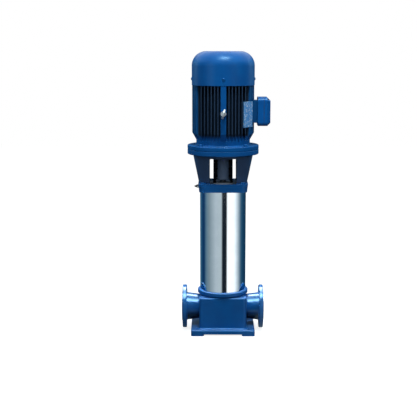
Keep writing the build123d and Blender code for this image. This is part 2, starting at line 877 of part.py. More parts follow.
seal_cover_top = head_spigot_top + seal_cover_thickness
with BuildPart() as seal_cover:
    ring(head_spigot_top, seal_cover_thickness, seal_cover_radius)
    ring(head_bottom, head_spigot_top - head_bottom, seal_boss_radius)
    ring(head_bottom, seal_cover_top - head_bottom, shaft_radius + seal_bore_gap, mode=Mode.SUBTRACT)
    ring(head_bottom, seal_seat_height, seal_seat_radius + seat_clearance, mode=Mode.SUBTRACT)
    round_bars(
        head_spigot_top,
        seal_cover_thickness,
        seal_screw_radius + seat_clearance,
        seal_screw_circle_radius,
        mode=Mode.SUBTRACT,
    )
seal_cover.part.label = "seal_cover"
export_step(seal_cover.part, "parts/seal_cover.step")

with BuildPart() as seal_cover_screws:
    round_bars(seal_cover_top, seal_screw_head, seal_screw_head_radius, seal_screw_circle_radius)
    round_bars(
        head_spigot_top - seal_screw_depth,
        seal_screw_depth + seal_cover_thickness,
        seal_screw_radius,
        seal_screw_circle_radius,
    )
seal_cover_screws.part.label = "seal_cover_screws"
export_step(seal_cover_screws.part, "parts/seal_cover_screws.step")

with BuildPart() as seal_seat:
    ring(head_bottom, seal_seat_height, seal_seat_radius, shaft_radius + seal_bore_gap)
seal_seat.part.label = "seal_seat"
export_step(seal_seat.part, "parts/seal_seat.step")

seal_ring_top = head_bottom - seal_film
seal_ring_bottom = seal_ring_top - seal_ring_height
with BuildPart() as seal_ring:
    ring(seal_ring_bottom, seal_ring_height, seal_ring_radius, shaft_radius + seat_clearance)
seal_ring.part.label = "seal_ring"
export_step(seal_ring.part, "parts/seal_ring.step")

fold_pitch = bellows_length / bellows_folds
bellows_bottom = seal_ring_bottom - bellows_length
bellows_inner = shaft_radius + seat_clearance
bellows_root = shaft_radius + bellows_wall
bellows_outline = [(bellows_inner, bellows_bottom), (bellows_root, bellows_bottom)]
for fold in range(bellows_folds):
    fold_bottom = bellows_bottom + fold * fold_pitch
    bellows_outline.append((bellows_root + bellows_fold_height, fold_bottom + fold_pitch / 2))
    bellows_outline.append((bellows_root, fold_bottom + fold_pitch))
bellows_outline.append((bellows_inner, seal_ring_bottom))
with BuildPart() as seal_bellows:
    turned(bellows_outline)
seal_bellows.part.label = "seal_bellows"
export_step(seal_bellows.part, "parts/seal_bellows.step")

# ------------------------------------------------------------------ lantern
with BuildPart() as lantern:
    with BuildSketch(Plane.XY.offset(head_top)):
        RectangleRounded(2 * lantern_foot_half, 2 * lantern_foot_half, head_corner_radius)
    extrude(amount=lantern_foot, taper=-side_draft)
    turned(
        [
            (lantern_root_radius - lantern_wall, lantern_foot_top),
            (lantern_root_radius, lantern_foot_top),
            (lantern_shoulder_radius, lantern_cone_top - lantern_fillet),
            (lantern_shoulder_radius + lantern_fillet, lantern_cone_top),
            (lantern_flange_radius - flange_chamfer, lantern_cone_top),
            (lantern_flange_radius, lantern_cone_top + flange_chamfer),
            (lantern_flange_radius, lantern_top - flange_chamfer),
            (lantern_flange_radius - flange_chamfer, lantern_top),
            (motor_spigot_radius + seat_clearance, lantern_top),
            (motor_spigot_radius + seat_clearance, lantern_top - motor_spigot_height),
            (lantern_shoulder_bore - lantern_flange_step, lantern_top - motor_spigot_height),
            (lantern_shoulder_bore - lantern_shoulder_step, lantern_cone_top - lantern_fillet),
        ]
    )
    ring(head_top, lantern_foot, lantern_foot_bore, mode=Mode.SUBTRACT)
    with BuildSketch(Plane.XZ):
        with Locations((0, lantern_foot_top + window_height / 2)):
            RectangleRounded(window_width, window_height, window_corner_radius)
    extrude(amount=lantern_flange_radius, both=True, mode=Mode.SUBTRACT)
    with BuildSketch(Plane.XY.offset(head_top)):
        with GridLocations(2 * lantern_screw_offset, 2 * lantern_screw_offset, 2, 2):
            Circle(lantern_screw_radius + moving_gap)
    extrude(amount=lantern_foot, mode=Mode.SUBTRACT)
    with BuildSketch(Plane.XY.offset(lantern_foot_top)):
        with GridLocations(2 * lantern_screw_offset, 2 * lantern_screw_offset, 2, 2):
            Circle(lantern_spot_radius)
    extrude(amount=-lantern_spot_depth, mode=Mode.SUBTRACT)
    round_bars(
        lantern_cone_top,
        lantern_flange_thickness,
        motor_bolt_radius + seat_clearance,
        motor_bolt_circle_radius,
        mode=Mode.SUBTRACT,
    )
    # Welded from a foot, two curved legs and a flange ring.
    for weld in (
        lantern_foot_top + lantern_weld_rise,
        lantern_foot_top + window_height - lantern_weld_rise,
    ):
        split(bisect_by=Plane.XY.offset(weld), keep=Keep.BOTH)
lantern.part.label = "lantern"
export_step(lantern.part, "parts/lantern.step")

lantern_screw_seat = lantern_foot_top - lantern_spot_depth
lantern_screw_end = head_top - lantern_screw_grip
with BuildPart() as lantern_screws:
    with BuildSketch(Plane.XY.offset(lantern_screw_seat)):
        with GridLocations(2 * lantern_screw_offset, 2 * lantern_screw_offset, 2, 2):
            RegularPolygon(lantern_screw_across_flats / 2, 6, major_radius=False)
    extrude(amount=lantern_screw_head)
    with BuildSketch(Plane.XY.offset(lantern_screw_end)):
        with GridLocations(2 * lantern_screw_offset, 2 * lantern_screw_offset, 2, 2):
            Circle(lantern_screw_radius)
    extrude(amount=lantern_screw_seat - lantern_screw_end)
lantern_screws.part.label = "lantern_screws"
export_step(lantern_screws.part, "parts/lantern_screws.step")

# ------------------------------------------------------------------ coupling
row_pitch = coupling_length / coupling_screw_rows
key_face = -(motor_shaft_radius - key_depth)
key_bottom = motor_shaft_bottom + shaft_chamfer + key_margin
for half, name in ((-1, "coupling_half_front"), (1, "coupling_half_rear")):
    with BuildPart() as coupling_half:
        turned(
            [
                (shaft_radius + seat_clearance, coupling_bottom),
                (coupling_radius - coupling_chamfer, coupling_bottom),
                (coupling_radius, coupling_bottom + coupling_chamfer),
                (coupling_radius, coupling_top - coupling_chamfer),
                (coupling_radius - coupling_chamfer, coupling_top),
                (motor_shaft_radius + seat_clearance, coupling_top),
                (motor_shaft_radius + seat_clearance, motor_shaft_bottom - shaft_gap / 2),
                (shaft_radius + seat_clearance, motor_shaft_bottom - shaft_gap / 2),
            ]
        )
        with BuildSketch(Plane.XZ.offset(-coupling_radius)):
            with Locations((0, coupling_bottom + coupling_length / 2)):
                with GridLocations(2 * coupling_screw_offset, row_pitch, 2, coupling_screw_rows):
                    Circle(coupling_screw_radius + seat_clearance)
        extrude(amount=2 * coupling_radius, mode=Mode.SUBTRACT)
        with BuildSketch(Plane.XZ.offset(coupling_screw_seat)):
            with Locations((0, coupling_bottom + coupling_length / 2)):
                with GridLocations(2 * coupling_screw_offset, row_pitch, 2, coupling_screw_rows):
                    Circle(coupling_screw_head_radius + moving_gap)
        extrude(amount=coupling_radius, mode=Mode.SUBTRACT)
        with BuildSketch(Plane.XY.offset(key_bottom - moving_gap)):
            with Locations((0, key_face - key_height / 2)):
                Rectangle(key_width + 2 * seat_clearance, key_height + 2 * moving_gap)
        extrude(amount=coupling_top - key_bottom + moving_gap, mode=Mode.SUBTRACT)
        halfway = Plane.XZ.offset(-half * coupling_split / 2)
        split(bisect_by=halfway, keep=Keep.TOP if half < 0 else Keep.BOTTOM)
    coupling_half.part.label = name
    export_step(coupling_half.part, f"parts/{name}.step")

with BuildPart() as coupling_screws:
    with BuildSketch(Plane.XZ.offset(coupling_screw_seat)):
        with Locations((0, coupling_bottom + coupling_length / 2)):
            with GridLocations(2 * coupling_screw_offset, row_pitch, 2, coupling_screw_rows):
                Circle(coupling_screw_head_radius)
    extrude(amount=coupling_screw_head)
    with BuildSketch(Plane.XZ.offset(coupling_screw_seat)):
        with Locations((0, coupling_bottom + coupling_length / 2)):
            with GridLocations(2 * coupling_screw_offset, row_pitch, 2, coupling_screw_rows):
                Circle(coupling_screw_radius)
    extrude(amount=-2 * coupling_screw_seat)
coupling_screws.part.label = "coupling_screws"
export_step(coupling_screws.part, "parts/coupling_screws.step")

with BuildPart() as motor_shaft_key:
    with BuildSketch(Plane.XY.offset(key_bottom)):
        with Locations((0, key_face - key_height / 2)):
            Rectangle(key_width, key_height)
    extrude(amount=key_length)
motor_shaft_key.part.label = "motor_shaft_key"
export_step(motor_shaft_key.part, "parts/motor_shaft_key.step")

# ------------------------------------------------------------------ motor, lower end
motor_flange_top = lantern_top + motor_flange_thickness
spigot_bottom = lantern_top - motor_spigot_height
web_bottom = lantern_top + shield_web_bottom
web_top = web_bottom + shield_web
lower_bearing_top = lower_bearing_bottom + bearing_width
shaft_hole_radius = bearing_bore_radius + seal_bore_gap
with BuildPart() as motor_flange:
    turned(
        [
            (shaft_hole_radius, web_bottom),
            (frame_bore - register_wall, web_bottom),
            (frame_bore - register_wall, spigot_bottom),
            (motor_spigot_radius, spigot_bottom),
            (motor_spigot_radius, lantern_top),
            (lantern_flange_radius - flange_chamfer, lantern_top),
            (lantern_flange_radius, lantern_top + flange_chamfer),
            (lantern_flange_radius, motor_flange_top - flange_chamfer),
            (lantern_flange_radius - flange_chamfer, motor_flange_top),
            (frame_radius + shield_root, motor_flange_top),
            (frame_radius, motor_flange_top + shield_root),
            (frame_radius, frame_bottom),
            (frame_bore - seat_clearance, frame_bottom),
            (frame_bore - seat_clearance, frame_bottom + register_height),
            (frame_bore - register_wall, frame_bottom + register_height),
            (frame_bore - register_wall, web_top),
            (bearing_radius + shield_hub_wall, web_top),
            (bearing_radius + shield_hub_wall, lower_bearing_top),
            (bearing_radius + seat_clearance, lower_bearing_top),
            (bearing_radius + seat_clearance, lower_bearing_bottom),
            (shaft_hole_radius, lower_bearing_bottom),
        ]
    )
    round_bars(
        lantern_top,
        motor_flange_thickness,
        motor_bolt_hole_radius,
        motor_bolt_circle_radius,
        mode=Mode.SUBTRACT,
    )
    round_bars(
        spigot_bottom,
        frame_bottom - spigot_bottom,
        shield_screw_radius + seat_clearance,
        shield_screw_circle_radius,
        mode=Mode.SUBTRACT,
    )
    round_bars(
        spigot_bottom,
        shield_screw_recess,
        shield_screw_head_radius + moving_gap,
        shield_screw_circle_radius,
        mode=Mode.SUBTRACT,
    )
motor_flange.part.label = "motor_flange"
export_step(motor_flange.part, "parts/motor_flange.step")

with BuildPart() as motor_flange_bolts:
    hex_bars(motor_flange_top, motor_bolt_head, motor_bolt_across_flats, motor_bolt_circle_radius)
    round_bars(
        lantern_top - motor_bolt_grip,
        motor_bolt_grip + motor_flange_thickness,
        motor_bolt_radius,
        motor_bolt_circle_radius,
    )
motor_flange_bolts.part.label = "motor_flange_bolts"
export_step(motor_flange_bolts.part, "parts/motor_flange_bolts.step")

# ------------------------------------------------------------------ motor frame
shield_screw_seat = spigot_bottom + shield_screw_recess
lower_screw_end = shield_screw_seat + shield_screw_length
rear_shield_top = frame_top + rear_shield_thickness
upper_screw_end = rear_shield_top - shield_screw_length
fin_offsets = {
    "front": [fin_first + k * fin_pitch for k in range(front_fins)],
    "side": [fin_first + k * fin_pitch for k in range(side_fins)],
}
with BuildPart() as motor_frame:
    # One extruded section: barrel, four centre ribs, and fins that all stand parallel.
    with BuildSketch(Plane.XY.offset(frame_bottom)):
        Circle(frame_radius)
        Rectangle(rib_width, 2 * fin_tip_radius)
        Rectangle(2 * fin_tip_radius, rib_width)
        for fin in fin_offsets["front"]:
            with Locations((-fin, 0), (fin, 0)):
                Rectangle(fin_thickness, 2 * fin_tip_radius)
        for fin in fin_offsets["side"]:
            with Locations((0, -fin), (0, fin)):
                Rectangle(2 * fin_tip_radius, fin_thickness)
        Circle(fin_tip_radius, mode=Mode.INTERSECT)
        Circle(frame_bore, mode=Mode.SUBTRACT)
    extrude(amount=frame_length)
    # The fins run out into the barrel at the lower end.
    turned(
        [
            (frame_radius, frame_bottom),
            (fin_tip_radius, frame_bottom + fin_taper_height),
            (fin_tip_radius + cut_margin, frame_bottom + fin_taper_height),
            (fin_tip_radius + cut_margin, frame_bottom),
        ],
        mode=Mode.SUBTRACT,
    )
    # Hollow neck to the terminal box.
    with BuildSketch(Plane.YZ.offset(frame_radius - box_neck_lap)):
        with Locations((0, box_centre)):
            Rectangle(2 * box_neck_half_width, 2 * box_neck_half_height)
    extrude(amount=box_neck_face - frame_radius + box_neck_lap)
    with BuildSketch(Plane.YZ.offset(frame_bore - box_neck_cut_lap)):
        with Locations((0, box_centre)):
            Rectangle(
                2 * (box_neck_half_width - box_neck_wall),
                2 * (box_neck_half_height - box_neck_wall),
            )
    extrude(amount=box_neck_face - frame_bore + box_neck_cut_lap, mode=Mode.SUBTRACT)
    # Boss for the lifting eye and pad for the nameplate.
    with BuildSketch(Plane.XZ.offset(frame_radius)):
        with Locations((0, eye_height)):
            Circle(eye_boss_radius)
    extrude(amount=fin_depth + eye_boss_rise)
    with BuildSketch(Plane.XZ.offset(fin_tip_radius + eye_boss_rise)):
        with Locations((0, eye_height)):
            Circle(eye_thread_radius + seat_clearance)
    extrude(amount=-eye_thread_length, mode=Mode.SUBTRACT)
    plate_normal = Vector(1, 0, 0).rotate(Axis.Z, nameplate_azimuth)
    pad_root = frame_radius - nameplate_pad_lap
    pad_plane = Plane(origin=plate_normal * pad_root, x_dir=(0, 0, 1), z_dir=plate_normal)
    with BuildSketch(pad_plane):
        with Locations((nameplate_centre, 0)):
            Rectangle(nameplate_pad_height, nameplate_pad_width)
    extrude(amount=nameplate_pad_face - pad_root)
    with BuildSketch(pad_plane.offset(nameplate_pad_face - pad_root)):
        with Locations((nameplate_centre, 0)):
            Rectangle(nameplate_height + 2 * nameplate_gap, nameplate_width + 2 * nameplate_gap)
    extrude(amount=fin_depth, mode=Mode.SUBTRACT)
    round_bars(
        frame_bottom,
        lower_screw_end - frame_bottom,
        shield_screw_radius + seat_clearance,
        shield_screw_circle_radius,
        mode=Mode.SUBTRACT,
    )
    round_bars(
        upper_screw_end,
        frame_top - upper_screw_end,
        shield_screw_radius + seat_clearance,
        shield_screw_circle_radius,
        mode=Mode.SUBTRACT,
    )
motor_frame.part.label = "motor_frame"
export_step(motor_frame.part, "parts/motor_frame.step")

with BuildPart() as end_shield_screws:
    round_bars(
        shield_screw_seat - shield_screw_head,
        shield_screw_head,
        shield_screw_head_radius,
        shield_screw_circle_radius,
    )
    round_bars(
        shield_screw_seat,
        shield_screw_length,
        shield_screw_radius,
        shield_screw_circle_radius,
    )
    round_bars(
        rear_shield_top,
        shield_screw_head,
        shield_screw_head_radius,
        shield_screw_circle_radius,
    )
    round_bars(
        upper_screw_end,
        shield_screw_length,
        shield_screw_radius,
        shield_screw_circle_radius,
    )
end_shield_screws.part.label = "end_shield_screws"
export_step(end_shield_screws.part, "parts/end_shield_screws.step")

# ------------------------------------------------------------------ stator, rotor and shaft
stator_top = stator_bottom + stator_length
with BuildPart() as stator_core:
    ring(stator_bottom, stator_length, frame_bore - seat_clearance, stator_bore)
stator_core.part.label = "stator_core"
export_step(stator_core.part, "parts/stator_core.step")

with BuildPart() as stator_windings:
    for winding_bottom in (stator_bottom - winding_height, stator_top):
        ring(winding_bottom, winding_height, winding_outer_radius, winding_inner_radius)
stator_windings.part.label = "stator_windings"
export_step(stator_windings.part, "parts/stator_windings.step")

with BuildPart() as rotor_core:
    ring(stator_bottom, stator_length, stator_bore - rotor_air_gap)
    for end_ring_bottom in (stator_bottom - rotor_end_ring_height, stator_top):
        ring(end_ring_bottom, rotor_end_ring_height, rotor_end_ring_radius)
    ring(
        stator_bottom - rotor_end_ring_height,
        stator_length + 2 * rotor_end_ring_height,
        rotor_seat_radius + seat_clearance,
        mode=Mode.SUBTRACT,
    )
rotor_core.part.label = "rotor_core"
export_step(rotor_core.part, "parts/rotor_core.step")

fan_top = fan_bottom + fan_height
upper_bearing_top = upper_bearing_bottom + bearing_width
with BuildPart() as motor_shaft:
    turned(
        [
            (0, motor_shaft_bottom),
            (motor_shaft_radius - shaft_chamfer, motor_shaft_bottom),
            (motor_shaft_radius, motor_shaft_bottom + shaft_chamfer),
            (motor_shaft_radius, web_bottom),
            (bearing_bore_radius - seat_clearance, web_bottom),
            (bearing_bore_radius - seat_clearance, lower_bearing_top),
            (rotor_seat_radius, lower_bearing_top),
            (rotor_seat_radius, upper_bearing_bottom),
            (bearing_bore_radius - seat_clearance, upper_bearing_bottom),
            (bearing_bore_radius - seat_clearance, rear_shield_top),
            (fan_seat_radius, rear_shield_top),
            (fan_seat_radius, fan_top - shaft_chamfer),
            (fan_seat_radius - shaft_chamfer, fan_top),
            (0, fan_top),
        ]
    )
    with BuildSketch(Plane.XY.offset(key_bottom)):
        with Locations((0, key_face - key_height / 2)):
            Rectangle(key_width + 2 * seat_clearance, key_height)
    extrude(amount=key_length, mode=Mode.SUBTRACT)
motor_shaft.part.label = "motor_shaft"
export_step(motor_shaft.part, "parts/motor_shaft.step")

# ------------------------------------------------------------------ bearings
bearing_bottoms = (lower_bearing_bottom, upper_bearing_bottom)
with BuildPart() as bearing_inner_rings:
    for bottom in bearing_bottoms:
        ring(bottom, bearing_width, bearing_bore_radius + bearing_ring_wall, bearing_bore_radius)
        with BuildSketch(Plane.XZ):
            with Locations((ball_circle_radius, bottom + bearing_width / 2)):
                Circle(ball_radius + ball_gap)
        revolve(axis=Axis.Z, mode=Mode.SUBTRACT)
bearing_inner_rings.part.label = "bearing_inner_rings"
export_step(bearing_inner_rings.part, "parts/bearing_inner_rings.step")

with BuildPart() as bearing_outer_rings:
    for bottom in bearing_bottoms:
        ring(bottom, bearing_width, bearing_radius, bearing_radius - bearing_ring_wall)
        with BuildSketch(Plane.XZ):
            with Locations((ball_circle_radius, bottom + bearing_width / 2)):
                Circle(ball_radius + ball_gap)
        revolve(axis=Axis.Z, mode=Mode.SUBTRACT)
bearing_outer_rings.part.label = "bearing_outer_rings"
export_step(bearing_outer_rings.part, "parts/bearing_outer_rings.step")

for bottom, name in zip(bearing_bottoms, ("lower_bearing_balls", "upper_bearing_balls")):
    middle = bottom + bearing_width / 2
    with BuildPart() as bearing_balls:
        ring(
            middle - cage_height / 2,
            cage_height,
            ball_circle_radius + cage_thickness / 2,
            ball_circle_radius - cage_thickness / 2,
        )
        with Locations((0, 0, middle)):
            with PolarLocations(ball_circle_radius, ball_count):
                pocket_radius = ball_radius + ball_gap
                Cylinder(pocket_radius, 2 * cage_thickness, rotation=(0, 90, 0), mode=Mode.SUBTRACT)
                Sphere(ball_radius, rotation=(0, 90, 0))
    bearing_balls.part.label = name
    export_step(bearing_balls.part, f"parts/{name}.step")

with BuildPart() as wave_spring:
    ring(
        upper_bearing_top,
        wave_spring_height,
        bearing_radius - wave_spring_gap,
        bearing_radius - bearing_ring_wall,
    )
wave_spring.part.label = "wave_spring"
export_step(wave_spring.part, "parts/wave_spring.step")

# ------------------------------------------------------------------ motor, upper end
spring_top = upper_bearing_top + wave_spring_height
cowl_bore = cowl_radius - cowl_wall
lug_inner_radius = frame_radius - cowl_lug_reach
cowl_screw_centre = frame_top + cowl_screw_height
with BuildPart() as rear_end_shield:
    turned(
        [
            (shaft_hole_radius, spring_top),
            (bearing_radius + seat_clearance, spring_top),
            (bearing_radius + seat_clearance, upper_bearing_bottom),
            (bearing_radius + shield_hub_wall, upper_bearing_bottom),
            (bearing_radius + shield_hub_wall, frame_top - rear_web_depth),
            (frame_bore - register_wall, frame_top - rear_web_depth),
            (frame_bore - register_wall, frame_top - register_height),
            (frame_bore - seat_clearance, frame_top - register_height),
            (frame_bore - seat_clearance, frame_top),
            (frame_radius, frame_top),
            (frame_radius, rear_shield_top),
            (shaft_hole_radius, rear_shield_top),
        ]
    )
    # Four lugs that carry the cowl, trimmed to the cowl's bore.
    with BuildSketch(Plane.XY.offset(frame_top)):
        with PolarLocations((lug_inner_radius + cowl_bore) / 2, 4):
            Rectangle(cowl_bore - lug_inner_radius, cowl_lug_width)
        Circle(cowl_bore - sleeve_clearance, mode=Mode.INTERSECT)
    extrude(amount=rear_shield_thickness + cowl_lug_height)
    for turn in (0, 90):
        with BuildSketch(Plane.XZ.rotated((0, 0, turn)).offset(-cowl_radius)):
            with Locations((0, cowl_screw_centre)):
                Circle(cowl_screw_radius + seat_clearance)
        extrude(amount=cowl_screw_length, mode=Mode.SUBTRACT)
        with BuildSketch(Plane.XZ.rotated((0, 0, turn)).offset(cowl_radius)):
            with Locations((0, cowl_screw_centre)):
                Circle(cowl_screw_radius + seat_clearance)
        extrude(amount=-cowl_screw_length, mode=Mode.SUBTRACT)
    round_bars(
        frame_top - register_height,
        rear_shield_thickness + register_height,
        shield_screw_radius + seat_clearance,
        shield_screw_circle_radius,
        mode=Mode.SUBTRACT,
    )
rear_end_shield.part.label = "rear_end_shield"
export_step(rear_end_shield.part, "parts/rear_end_shield.step")

with BuildPart() as fan:
    ring(fan_bottom, fan_height, fan_hub_radius)
    ring(fan_bottom, fan_plate_thickness, fan_plate_radius)
    with BuildSketch(Plane.XY.offset(fan_bottom)):
        with PolarLocations((fan_radius + fan_blade_root) / 2, fan_blade_count):
            Rectangle(fan_radius - fan_blade_root, fan_blade_thickness)
    extrude(amount=fan_height)
    ring(fan_bottom, fan_height, fan_seat_radius + seat_clearance, mode=Mode.SUBTRACT)
fan.part.label = "fan"
export_step(fan.part, "parts/fan.step")

shoulder_centre = cowl_radius - cowl_shoulder_radius
with BuildPart() as fan_cowl:
    with BuildSketch(Plane.XZ):
        with BuildLine():
            Polyline((0, cowl_top - cowl_wall), (0, cowl_top), (shoulder_centre, cowl_top))
            RadiusArc(
                (shoulder_centre, cowl_top),
                (cowl_radius, cowl_top - cowl_shoulder_radius),
                cowl_shoulder_radius,
            )
            Polyline(
                (cowl_radius, cowl_top - cowl_shoulder_radius),
                (cowl_radius, frame_top),
                (cowl_bore, frame_top),
                (cowl_bore, cowl_top - cowl_shoulder_radius),
            )
            RadiusArc(
                (cowl_bore, cowl_top - cowl_shoulder_radius),
                (shoulder_centre, cowl_top - cowl_wall),
                -(cowl_shoulder_radius - cowl_wall),
            )
            Line((shoulder_centre, cowl_top - cowl_wall), (0, cowl_top - cowl_wall))
        make_face()
    revolve(axis=Axis.Z)
    # Air inlet: two rings of radial slots in the flat top.
    with BuildSketch(Plane.XY.offset(cowl_top - cowl_wall)):
        with PolarLocations(grille_outer_radius, grille_outer_count):
            SlotOverall(grille_outer_length, grille_slot_width)
        with PolarLocations(grille_inner_radius, grille_inner_count):
            SlotOverall(grille_inner_length, grille_slot_width)
    extrude(amount=cowl_wall, mode=Mode.SUBTRACT)
    for turn in (0, 90):
        with BuildSketch(Plane.XZ.rotated((0, 0, turn))):
            with Locations((0, cowl_screw_centre)):
                Circle(cowl_screw_radius + seat_clearance)
        extrude(amount=cowl_radius + cut_margin, both=True, mode=Mode.SUBTRACT)
fan_cowl.part.label = "fan_cowl"
export_step(fan_cowl.part, "parts/fan_cowl.step")

with BuildPart() as cowl_screws:
    for turn in (0, 90, 180, 270):
        screw_plane = Plane.XZ.rotated((0, 0, turn)).offset(cowl_radius)
        with BuildSketch(screw_plane):
            with Locations((0, cowl_screw_centre)):
                Circle(cowl_screw_head_radius)
        extrude(amount=cowl_screw_head)
        with BuildSketch(screw_plane):
            with Locations((0, cowl_screw_centre)):
                Circle(cowl_screw_radius)
        extrude(amount=-cowl_screw_length)
cowl_screws.part.label = "cowl_screws"
export_step(cowl_screws.part, "parts/cowl_screws.step")

# ------------------------------------------------------------------ lifting eye and nameplate
eye_base = fin_tip_radius + eye_boss_rise
eye_centre = eye_base + eye_collar_height + eye_ring_radius
with BuildPart() as lifting_eye:
    with BuildSketch(Plane.XZ.offset(eye_base)):
        with Locations((0, eye_height)):
            Circle(eye_collar_radius)
    extrude(amount=eye_collar_height)
    with BuildSketch(Plane.XZ.offset(eye_base)):
        with Locations((0, eye_height)):
            Circle(eye_thread_radius)
    extrude(amount=-(eye_thread_length - thread_end_gap))
    with Locations(Location((0, -eye_centre, eye_height), (0, 90 + eye_twist, 0))):
        Torus(eye_ring_radius, eye_bar_radius)
lifting_eye.part.label = "lifting_eye"
export_step(lifting_eye.part, "parts/lifting_eye.step")

plate_plane = Plane(origin=plate_normal * nameplate_pad_face, x_dir=(0, 0, 1), z_dir=plate_normal)
with BuildPart() as nameplate:
    with BuildSketch(plate_plane):
        with Locations((nameplate_centre, 0)):
            Rectangle(nameplate_height, nameplate_width)
    extrude(amount=nameplate_thickness)
nameplate.part.label = "nameplate"
export_step(nameplate.part, "parts/nameplate.step")

# ------------------------------------------------------------------ terminal box
lid_face = box_neck_face + box_depth
screw_half_width = box_width / 2 - box_screw_inset
screw_half_height = box_height / 2 - box_screw_inset
lead_slot_offset = terminal_block_height / 2 + lead_slot_gap + lead_slot_height / 2
with BuildPart() as terminal_box:
    with BuildSketch(Plane.YZ.offset(box_neck_face)):
        with Locations((0, box_centre)):
            RectangleRounded(box_width, box_height, box_corner_radius)
    extrude(amount=box_depth)
    with BuildSketch(Plane.YZ.offset(box_neck_face + box_wall)):
        with Locations((0, box_centre)):
            RectangleRounded(
                box_width - 2 * box_wall,
                box_height - 2 * box_wall,
                box_corner_radius - box_wall,
            )
    extrude(amount=box_depth - box_wall, mode=Mode.SUBTRACT)
    with BuildSketch(Plane.YZ.offset(box_neck_face)):
        with Locations((0, box_centre + lead_slot_offset)):
            Rectangle(lead_slot_width, lead_slot_height)
    extrude(amount=box_wall, mode=Mode.SUBTRACT)
    with BuildSketch(Plane.YZ.offset(box_neck_face)):
        with Locations((0, box_centre)):
            with GridLocations(2 * screw_half_width, 2 * screw_half_height, 2, 2):
                Circle(box_screw_head_radius)
    extrude(amount=box_depth)
    with BuildSketch(Plane.YZ.offset(lid_face)):
        with Locations((0, box_centre)):
            with GridLocations(2 * screw_half_width, 2 * screw_half_height, 2, 2):
                Circle(box_screw_radius + seat_clearance)
    extrude(amount=-box_screw_depth, mode=Mode.SUBTRACT)
    with BuildSketch(Plane.XZ.offset(-box_width / 2)):
        with Locations((box_neck_face + box_depth / 2, box_centre)):
            Circle(gland_spigot_radius)
    extrude(amount=box_wall, mode=Mode.SUBTRACT)
terminal_box.part.label = "terminal_box"
export_step(terminal_box.part, "parts/terminal_box.step")

lid_outer_face = lid_face + lid_depth
lid_screw_seat = lid_outer_face - lid_bevel
with BuildPart() as terminal_box_lid:
    with BuildSketch(Plane.YZ.offset(lid_face)):
        with Locations((0, box_centre)):
            RectangleRounded(box_width, box_height, box_corner_radius)
    extrude(amount=lid_depth)
    chamfer(terminal_box_lid.faces().sort_by(Axis.X)[-1].edges(), lid_bevel)
    with BuildSketch(Plane.YZ.offset(lid_face)):
        with Locations((0, box_centre)):
            Rectangle(
                box_width - 2 * (lid_bevel + lid_wall),
                box_height - 2 * (lid_bevel + lid_wall),
            )
    extrude(amount=lid_depth - lid_wall, mode=Mode.SUBTRACT)
    with BuildSketch(Plane.YZ.offset(lid_screw_seat)):
        with Locations((0, box_centre)):
            with GridLocations(2 * screw_half_width, 2 * screw_half_height, 2, 2):
                Circle(box_screw_head_radius + moving_gap)
    extrude(amount=lid_bevel, mode=Mode.SUBTRACT)
    with BuildSketch(Plane.YZ.offset(lid_face)):
        with Locations((0, box_centre)):
            with GridLocations(2 * screw_half_width, 2 * screw_half_height, 2, 2):
                Circle(box_screw_radius + seat_clearance)
    extrude(amount=lid_depth, mode=Mode.SUBTRACT)
terminal_box_lid.part.label = "terminal_box_lid"
export_step(terminal_box_lid.part, "parts/terminal_box_lid.step")

with BuildPart() as terminal_box_screws:
    with BuildSketch(Plane.YZ.offset(lid_screw_seat)):
        with Locations((0, box_centre)):
            with GridLocations(2 * screw_half_width, 2 * screw_half_height, 2, 2):
                Circle(box_screw_head_radius)
    extrude(amount=box_screw_head)
    with BuildSketch(Plane.YZ.offset(lid_screw_seat)):
        with Locations((0, box_centre)):
            with GridLocations(2 * screw_half_width, 2 * screw_half_height, 2, 2):
                Circle(box_screw_radius)
    extrude(amount=-(lid_depth - lid_bevel + box_screw_depth))
terminal_box_screws.part.label = "terminal_box_screws"
export_step(terminal_box_screws.part, "parts/terminal_box_screws.step")

with BuildPart() as terminal_block:
    with BuildSketch(Plane.YZ.offset(box_neck_face + box_wall)):
        with Locations((0, box_centre)):
            Rectangle(terminal_block_width, terminal_block_height)
    extrude(amount=terminal_block_depth)
    with BuildSketch(Plane.YZ.offset(box_neck_face + box_wall + terminal_block_depth)):
        with Locations((0, box_centre)):
            with GridLocations(terminal_post_pitch_y, terminal_post_pitch_z, 3, 2):
                Circle(terminal_post_radius)
    extrude(amount=terminal_post_height)
terminal_block.part.label = "terminal_block"
export_step(terminal_block.part, "parts/terminal_block.step")

gland_x = box_neck_face + box_depth / 2
gland_plane = Plane.XZ.offset(-box_width / 2)
with BuildPart() as cable_gland:
    with BuildSketch(gland_plane):
        with Locations((gland_x, box_centre)):
            RegularPolygon(gland_across_flats / 2, 6, major_radius=False)
    extrude(amount=-gland_hex_length)
    with BuildSketch(gland_plane.offset(-gland_hex_length)):
        with Locations((gland_x, box_centre)):
            Circle(gland_nut_radius)
    extrude(amount=-gland_nut_length, taper=gland_taper)
    with BuildSketch(gland_plane):
        with Locations((gland_x, box_centre)):
            Circle(gland_spigot_radius - seat_clearance)
    extrude(amount=box_wall)
    with BuildSketch(gland_plane.offset(-gland_hex_length - gland_nut_length)):
        with Locations((gland_x, box_centre)):
            Circle(cable_bore_radius)
    extrude(amount=gland_hex_length + gland_nut_length + box_wall, mode=Mode.SUBTRACT)
cable_gland.part.label = "cable_gland"
export_step(cable_gland.part, "parts/cable_gland.step")
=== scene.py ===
import logging
import math
from dataclasses import dataclass
from enum import Enum
from typing import Callable, Iterable, Sequence

